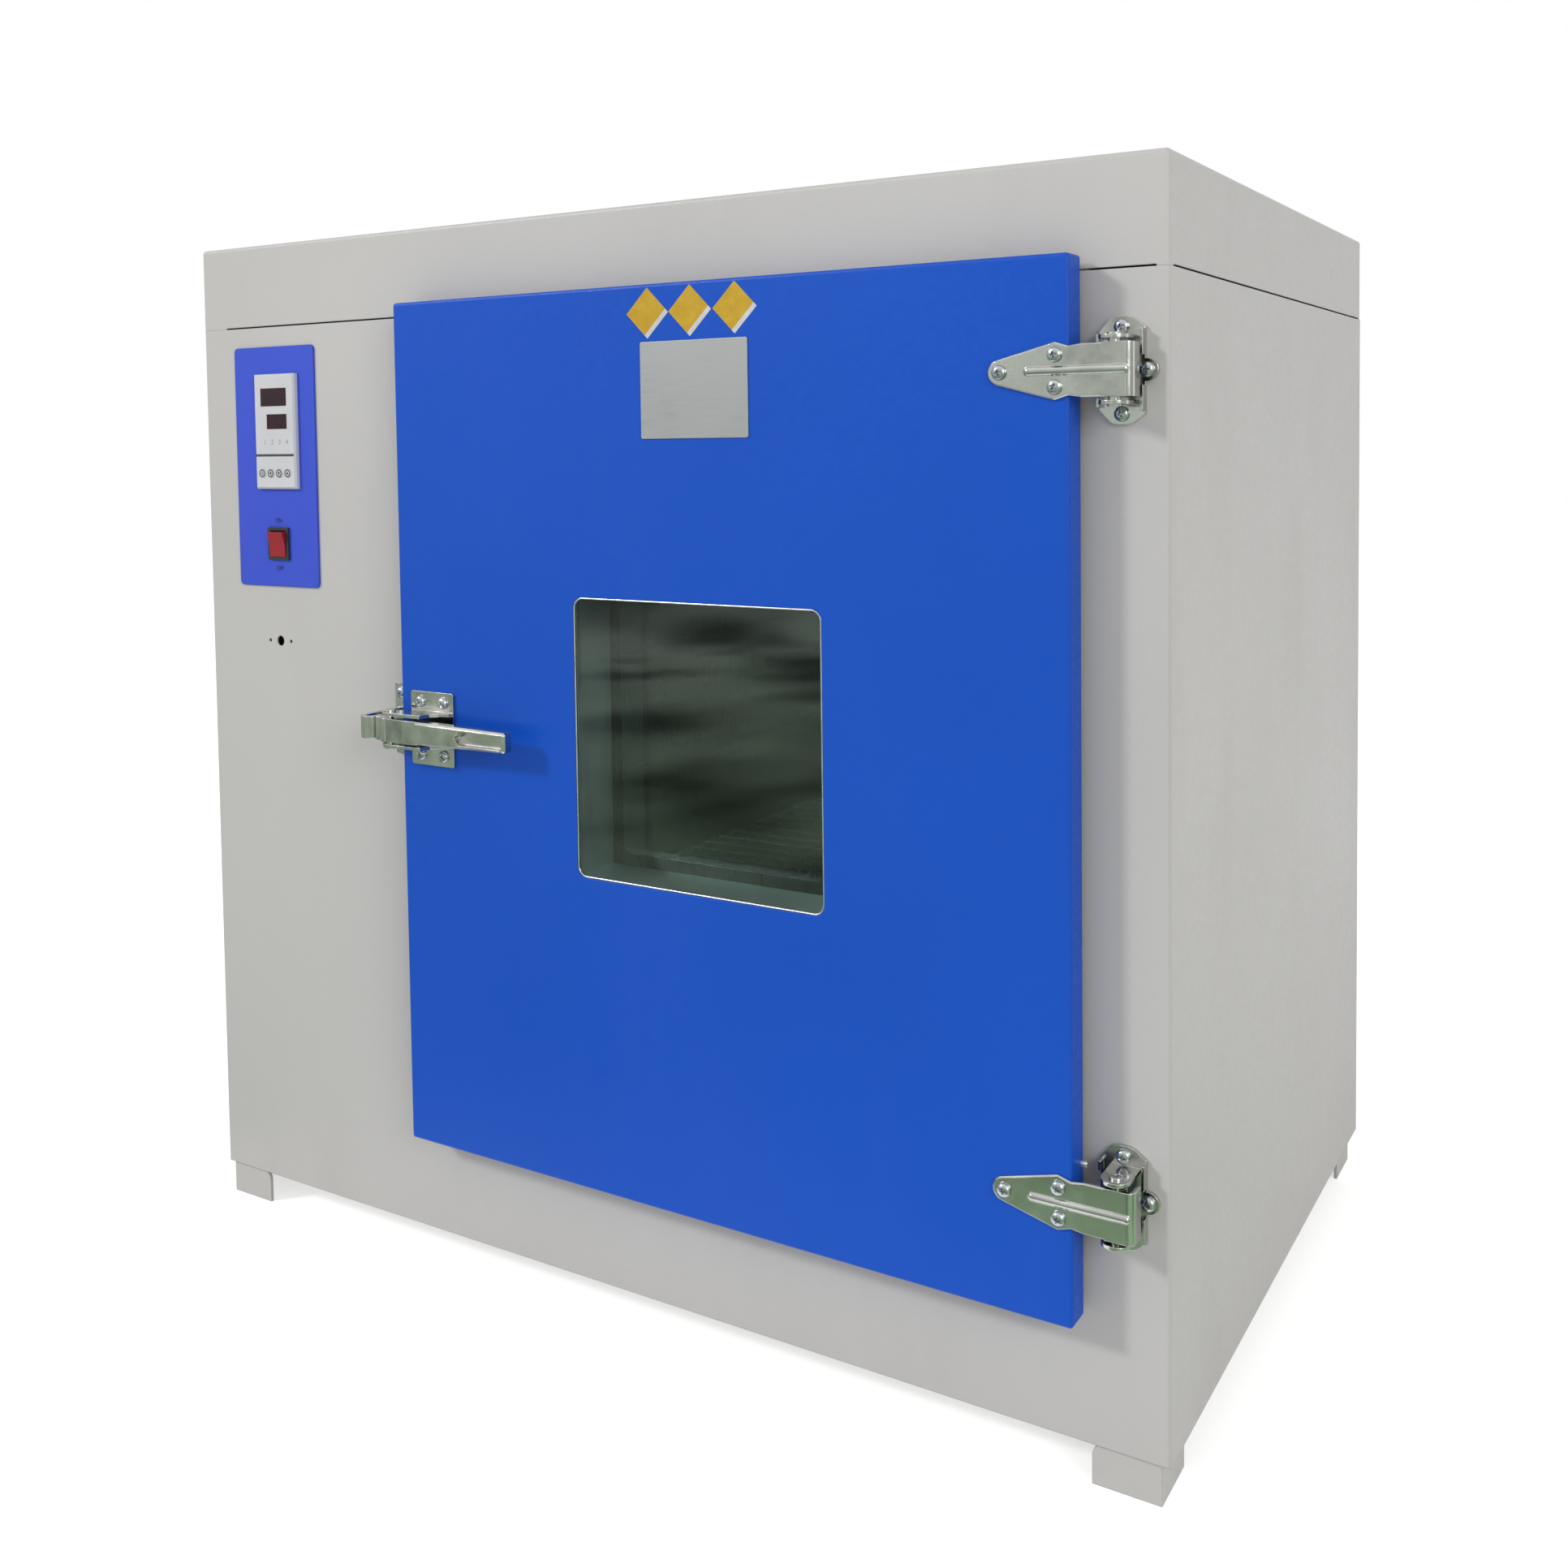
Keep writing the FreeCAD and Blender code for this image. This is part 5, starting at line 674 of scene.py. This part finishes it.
def ink(name, colour, faded):
    """Printed ink, a little worn."""
    made, tree, shader = finish_of(name, Specular_IOR_Level=0.3)
    wear = spread(tree, spots(tree, 1100.0, 4.0, rough=0.7), 0.35, 0.65, 0.0, 1.0)
    tree.links.new(blended(tree, wear, (*colour, 1), (*faded, 1)), shader.inputs["Base Color"])
    tree.links.new(spread(tree, wear, 0.0, 1.0, 0.4, 0.6), shader.inputs["Roughness"])
    return made


def thin_shapes(name, outlines, front_y, thickness, finish):
    """Thin flat shapes that face forwards. Each is a loop of (x, z) points, turned anticlockwise as seen from the front."""
    mesh = bpy.data.meshes.new(name)
    corners, faces = [], []
    for outline in outlines:
        first, count = len(corners), len(outline)
        corners += [(x, front_y, z) for x, z in outline] + [(x, front_y + thickness, z) for x, z in outline]
        faces.append(tuple(range(first, first + count)))
        faces.append(tuple(range(first + 2 * count - 1, first + count - 1, -1)))
        faces += [(first + i, first + count + i, first + count + (i + 1) % count, first + (i + 1) % count) for i in range(count)]
    mesh.from_pydata(corners, [], faces)
    mesh.materials.append(finish)
    return mesh


def ring_of(x, z, outer, inner, sides):
    """A flat ring, as wedges that meet."""
    around = [(math.cos(2 * math.pi * (i + 0.5) / sides), math.sin(2 * math.pi * (i + 0.5) / sides)) for i in range(sides)]
    return [[(x + inner * a[0], z + inner * a[1]), (x + outer * a[0], z + outer * a[1]),
             (x + outer * b[0], z + outer * b[1]), (x + inner * b[0], z + inner * b[1])]
            for a, b in zip(around, around[1:] + around[:1])]


ink_dark = ink("ink_dark", (0.035, 0.035, 0.04), (0.09, 0.09, 0.10))
ink_faint = ink("ink_faint", (0.36, 0.30, 0.32), (0.46, 0.41, 0.43))
fitted("face_rule", thin_shapes("face_rule", [[(-0.3565, 0.6497), (-0.3115, 0.6497), (-0.3115, 0.6517), (-0.3565, 0.6517)]],
                                -0.26705, 0.0001, ink_dark), "casing", "controller_black")
fitted("face_digits", printed("face_digits", [(str(i + 1), -0.3455 + 0.0088 * i, -0.267, 0.6615, 0.0042) for i in range(4)], ink_faint),
       "casing", "controller_black")
arrow = [(0.0, 0.0018), (-0.0016, -0.001), (0.0016, -0.001)]
for number, turn in ((1, None), (2, math.pi / 2), (3, math.pi), (4, 0.0)):
    x, z = -0.3492 + 0.0101 * (number - 1), 0.6357
    shapes = ring_of(x, z, 0.0033, 0.0023, 24)
    if turn is None:
        shapes += ring_of(x, z, 0.0013, 0.0007, 12)
    else:
        shapes.append([(x + a * math.cos(turn) - b * math.sin(turn), z + a * math.sin(turn) + b * math.cos(turn)) for a, b in arrow])
    fitted("key_%d_mark" % number, thin_shapes("key_%d_mark" % number, shapes, -0.26786, 0.0001, ink_dark), "button_%d" % number, "controller_black")

# Power switch: a red rocker in a black frame snapped into the panel.
switch_black = moulded("switch_black", (0.025, 0.025, 0.028), 0.42, (0.07, 0.07, 0.07))
given_finish(switch_black, "rocker_bezel")
switch_red = moulded("switch_red", (0.33, 0.006, 0.018), 0.34, (0.6, 0.07, 0.09), 0.00002, 1800.0, 0.0005, 0.5)
given_finish(switch_red, "rocker_button")

# Door: a folded pan of sheet steel in satin blue powder coat, with a stainless inner panel and a silicone seal.
# Its lighter edge colour paints a highlight along the door's edges.
door_blue = enamelled("door_blue", (0.0045, 0.078, 0.505), 0.38, (0.06, 0.16, 0.60), 0.05, 0.4, 0.0014, 0.03, 0.2)
given_finish(door_blue, "door_skin")
# The inner panel takes the same darkened steel, whose tone is painted shade.
given_finish(shaded_upright_steel, "door_inner_panel")
reveal_steel = sheet_steel("reveal_steel", (0.74, 0.80, 0.82), 0.40, (900.0, 900.0, 24.0))
given_finish(reveal_steel, "window_sleeve")
seal_red, tree, shader = finish_of("silicone_seal", Specular_IOR_Level=0.4)
bloom = spots(tree, 60.0, 4.0)
tree.links.new(blended(tree, bloom, (0.42, 0.11, 0.06, 1), (0.52, 0.17, 0.10, 1)), shader.inputs["Base Color"])
tree.links.new(spread(tree, bloom, 0.3, 0.7, 0.45, 0.65), shader.inputs["Roughness"])
tree.links.new(place(tree, "ShaderNodeBump", {"Height": spots(tree, 1200.0, 2.0), "Distance": 0.00005}).outputs[0], shader.inputs["Normal"])
bead_maker, given, gives = geometry_tree("frame_bead", {"Width": 0.5, "Height": 0.6, "Corner": 0.01, "Bead Width": 0.014, "Bead Depth": 0.0057,
                                                       "Finish": None})


def worked_out(kind, first, second):
    """One sum inside the bead's tree."""
    return place(bead_maker, "ShaderNodeMath", {0: first, 1: second}, operation=kind).outputs[0]


bead_path = place(bead_maker, "GeometryNodeCurvePrimitiveQuadrilateral", {
    "Width": worked_out("SUBTRACT", given["Width"], given["Bead Width"]),
    "Height": worked_out("SUBTRACT", given["Height"], given["Bead Width"])}).outputs[0]
bead_path = place(bead_maker, "GeometryNodeFilletCurve", {"Curve": bead_path, "Count": 10, "Radius": given["Corner"]}, mode="POLY").outputs[0]
bead_ring = place(bead_maker, "GeometryNodeCurvePrimitiveCircle", {"Resolution": 20, "Radius": worked_out("MULTIPLY", given["Bead Width"], 0.5)}).outputs[0]
bead = place(bead_maker, "GeometryNodeCurveToMesh", {"Curve": bead_path, "Profile Curve": bead_ring}).outputs[0]
flatness = place(bead_maker, "ShaderNodeCombineXYZ", {0: 1.0, 1: 1.0, 2: worked_out("DIVIDE", given["Bead Depth"], given["Bead Width"])}).outputs[0]
bead = place(bead_maker, "GeometryNodeTransform", {"Geometry": bead, "Scale": flatness}).outputs[0]
bead = place(bead_maker, "GeometryNodeTransform", {"Geometry": bead, "Rotation": (math.pi / 2, 0, 0)}).outputs[0]
bead = place(bead_maker, "GeometryNodeSetShadeSmooth", {"Geometry": bead, "Shade Smooth": True}).outputs[0]
bead = place(bead_maker, "GeometryNodeInstanceOnPoints", {"Points": given["Geometry"], "Instance": bead}).outputs[0]
bead = place(bead_maker, "GeometryNodeRealizeInstances", {"Geometry": bead}).outputs[0]
bead_maker.links.new(place(bead_maker, "GeometryNodeSetMaterial", {"Geometry": bead, "Material": given["Finish"]}).outputs[0], gives["Geometry"])
fitted("gasket_bulb", grown("gasket_bulb", bead_maker, [(0.098, -0.26415, 0.4395)],
                            {"Width": 0.4999, "Height": 0.6049, "Corner": 0.012, "Finish": seal_red}), "door", "silicone", "door_gasket")

# Window: two panes of clear float glass, one bonded behind the door's skin and one at the back of the plug.
pane_glass, tree, shader = finish_of("pane_glass", Base_Color=(0.66, 0.73, 0.71, 1), Roughness=0.0, IOR=1.45, Transmission_Weight=1.0)
passing = place(tree, "ShaderNodeBsdfTransparent", {"Color": (0.66, 0.73, 0.71, 1)}).outputs[0]
through = place(tree, "ShaderNodeMixShader", {0: place(tree, "ShaderNodeLightPath").outputs["Is Shadow Ray"], 1: shader.outputs[0], 2: passing}).outputs[0]
tree.links.new(through, tree.nodes["Material Output"].inputs["Surface"])
smear = spread(tree, spots(tree, 30.0, 5.0, rough=0.7), 0.45, 0.8, 0.0, 0.06)
tree.links.new(smear, shader.inputs["Roughness"])
given_finish(pane_glass, "window_outer_glass", "window_inner_glass")

bright_trim = plated("bright_trim", (0.72, 0.73, 0.73), 0.3, (0.85, 0.85, 0.85), 0.0002, 0.3)
fitted("window_trim", grown("window_trim", bead_maker, [(0.098, -0.2864, 0.445)],
                            {"Width": 0.2058, "Height": 0.2038, "Corner": 0.0074, "Bead Width": 0.0012, "Bead Depth": 0.0010,
                             "Finish": bright_trim}), "door", "chamber_steel")

# Bare plate: a blank satin aluminium plate bonded above the window.
plate_satin = sheet_steel("plate_satin", (0.40, 0.40, 0.41), 0.55, (40.0, 900.0, 900.0))
given_finish(plate_satin, "bare_plate")

# Stickers: three plain yellow vinyl diamonds above the plate, each with a pale strip down its lower right side.
sticker_yellow, tree, shader = finish_of("sticker_yellow", Specular_IOR_Level=0.4)
sticker_white, pale_tree, pale_shader = finish_of("sticker_white", Specular_IOR_Level=0.4)
for place_in, skin_of, low_tone, high_tone in ((tree, shader, (0.46, 0.27, 0.006, 1), (0.56, 0.35, 0.012, 1)),
                                               (pale_tree, pale_shader, (0.50, 0.49, 0.50, 1), (0.60, 0.60, 0.61, 1))):
    fade = spots(place_in, 120.0, 5.0, rough=0.65)
    place_in.links.new(blended(place_in, spread(place_in, fade, 0.3, 0.7, 0.0, 1.0), low_tone, high_tone), skin_of.inputs["Base Color"])
    place_in.links.new(spread(place_in, fade, 0.3, 0.7, 0.3, 0.48), skin_of.inputs["Roughness"])
    place_in.links.new(place(place_in, "ShaderNodeBump", {"Height": spots(place_in, 500.0, 2.0), "Distance": 0.00003}).outputs[0],
                       skin_of.inputs["Normal"])
reach, strip = 0.0176, 0.0034
yellow, white = [], []
for x, z in ((0.0652, 0.7468), (0.1007, 0.747), (0.1370, 0.7472)):
    top, left_end, low, right_end = (x, z + reach), (x - reach, z), (x, z - reach), (x + reach, z)
    inset = strip * 0.7071
    yellow.append([top, left_end, (low[0] - inset, low[1] + inset), (right_end[0] - inset, right_end[1] + inset)])
    white.append([(low[0] - inset, low[1] + inset), low, right_end, (right_end[0] - inset, right_end[1] + inset)])
fitted("yellow_stickers", thin_shapes("yellow_stickers", yellow, -0.28715, 0.00015, sticker_yellow), "door", "plate_satin")
fitted("sticker_strips", thin_shapes("sticker_strips", white, -0.28715, 0.00015, sticker_white), "door", "plate_satin")

# Edge pin: a small plated stop pin pressed into the door's right side above the lower hinge.
pin_profile = [(0.0019, -0.0004), (0.0019, 0.0038), (0.0016, 0.0044), (0.0008, 0.0047)]
fitted("edge_pin", turned("edge_pin", [(20, pin_profile)], bright_trim, (1, 0, 0), (0.372, -0.2715, 0.2105)), "door", "hardware")

# Hinges: two pressed strap hinges in bright zinc, screwed to the door and to brackets on the casing.
# The near-white edge colour paints highlights along the edges of the hinges and the latch.
hinge_zinc = plated("hinge_zinc", (0.56, 0.56, 0.535), 0.15, (0.95, 0.95, 0.93), 0.0008, 0.7)
given_finish(hinge_zinc, "upper_hinge_strap", "lower_hinge_strap", "upper_hinge_bracket", "lower_hinge_bracket", "hinge_pins")
strap_places = [(x, -0.2895, height + z) for height in (0.697, 0.191)
                for x, z in ((0.3285, 0.0), (0.364, 0.0096), (0.364, -0.0096))]
bracket_places = [(x, -0.2635, height + z) for height in (0.697, 0.191)
                  for x, z in ((0.3965, 0.026), (0.3965, -0.026), (0.412, 0.0))]
front_screw = {"Head Radius": 0.0047, "Head Height": 0.0032, "Facing": (math.pi / 2, 0, 0), "Finish": screw_zinc}
fitted("strap_screw_heads", grown("strap_screw_heads", screw_maker, strap_places, {**front_screw, "Seed": 4}), "door", "screws", "strap_screws")
fitted("bracket_screw_heads", grown("bracket_screw_heads", screw_maker, bracket_places, {**front_screw, "Seed": 7}), "casing", "screws", "bracket_screws")

# Latch: a plated base with two shelves on the door, the lever that turns on its pin, and the keeper on the casing.
given_finish(hinge_zinc, "latch_base", "latch_lever", "latch_pin", "keeper")
latch_places = [(x, -0.289, 0.44 + z) for x in (-0.154, -0.131) for z in (0.0205, -0.0205)]
keeper_places = [(x, -0.2635, 0.44 + z) for x in (-0.199, -0.185) for z in (0.0205, -0.0205)]
fitted("latch_screw_heads", grown("latch_screw_heads", screw_maker, latch_places, {**front_screw, "Seed": 5}), "door", "screws", "latch_screws")
fitted("keeper_screw_heads", grown("keeper_screw_heads", screw_maker, keeper_places, {**front_screw, "Seed": 9}), "casing", "screws", "keeper_screws")
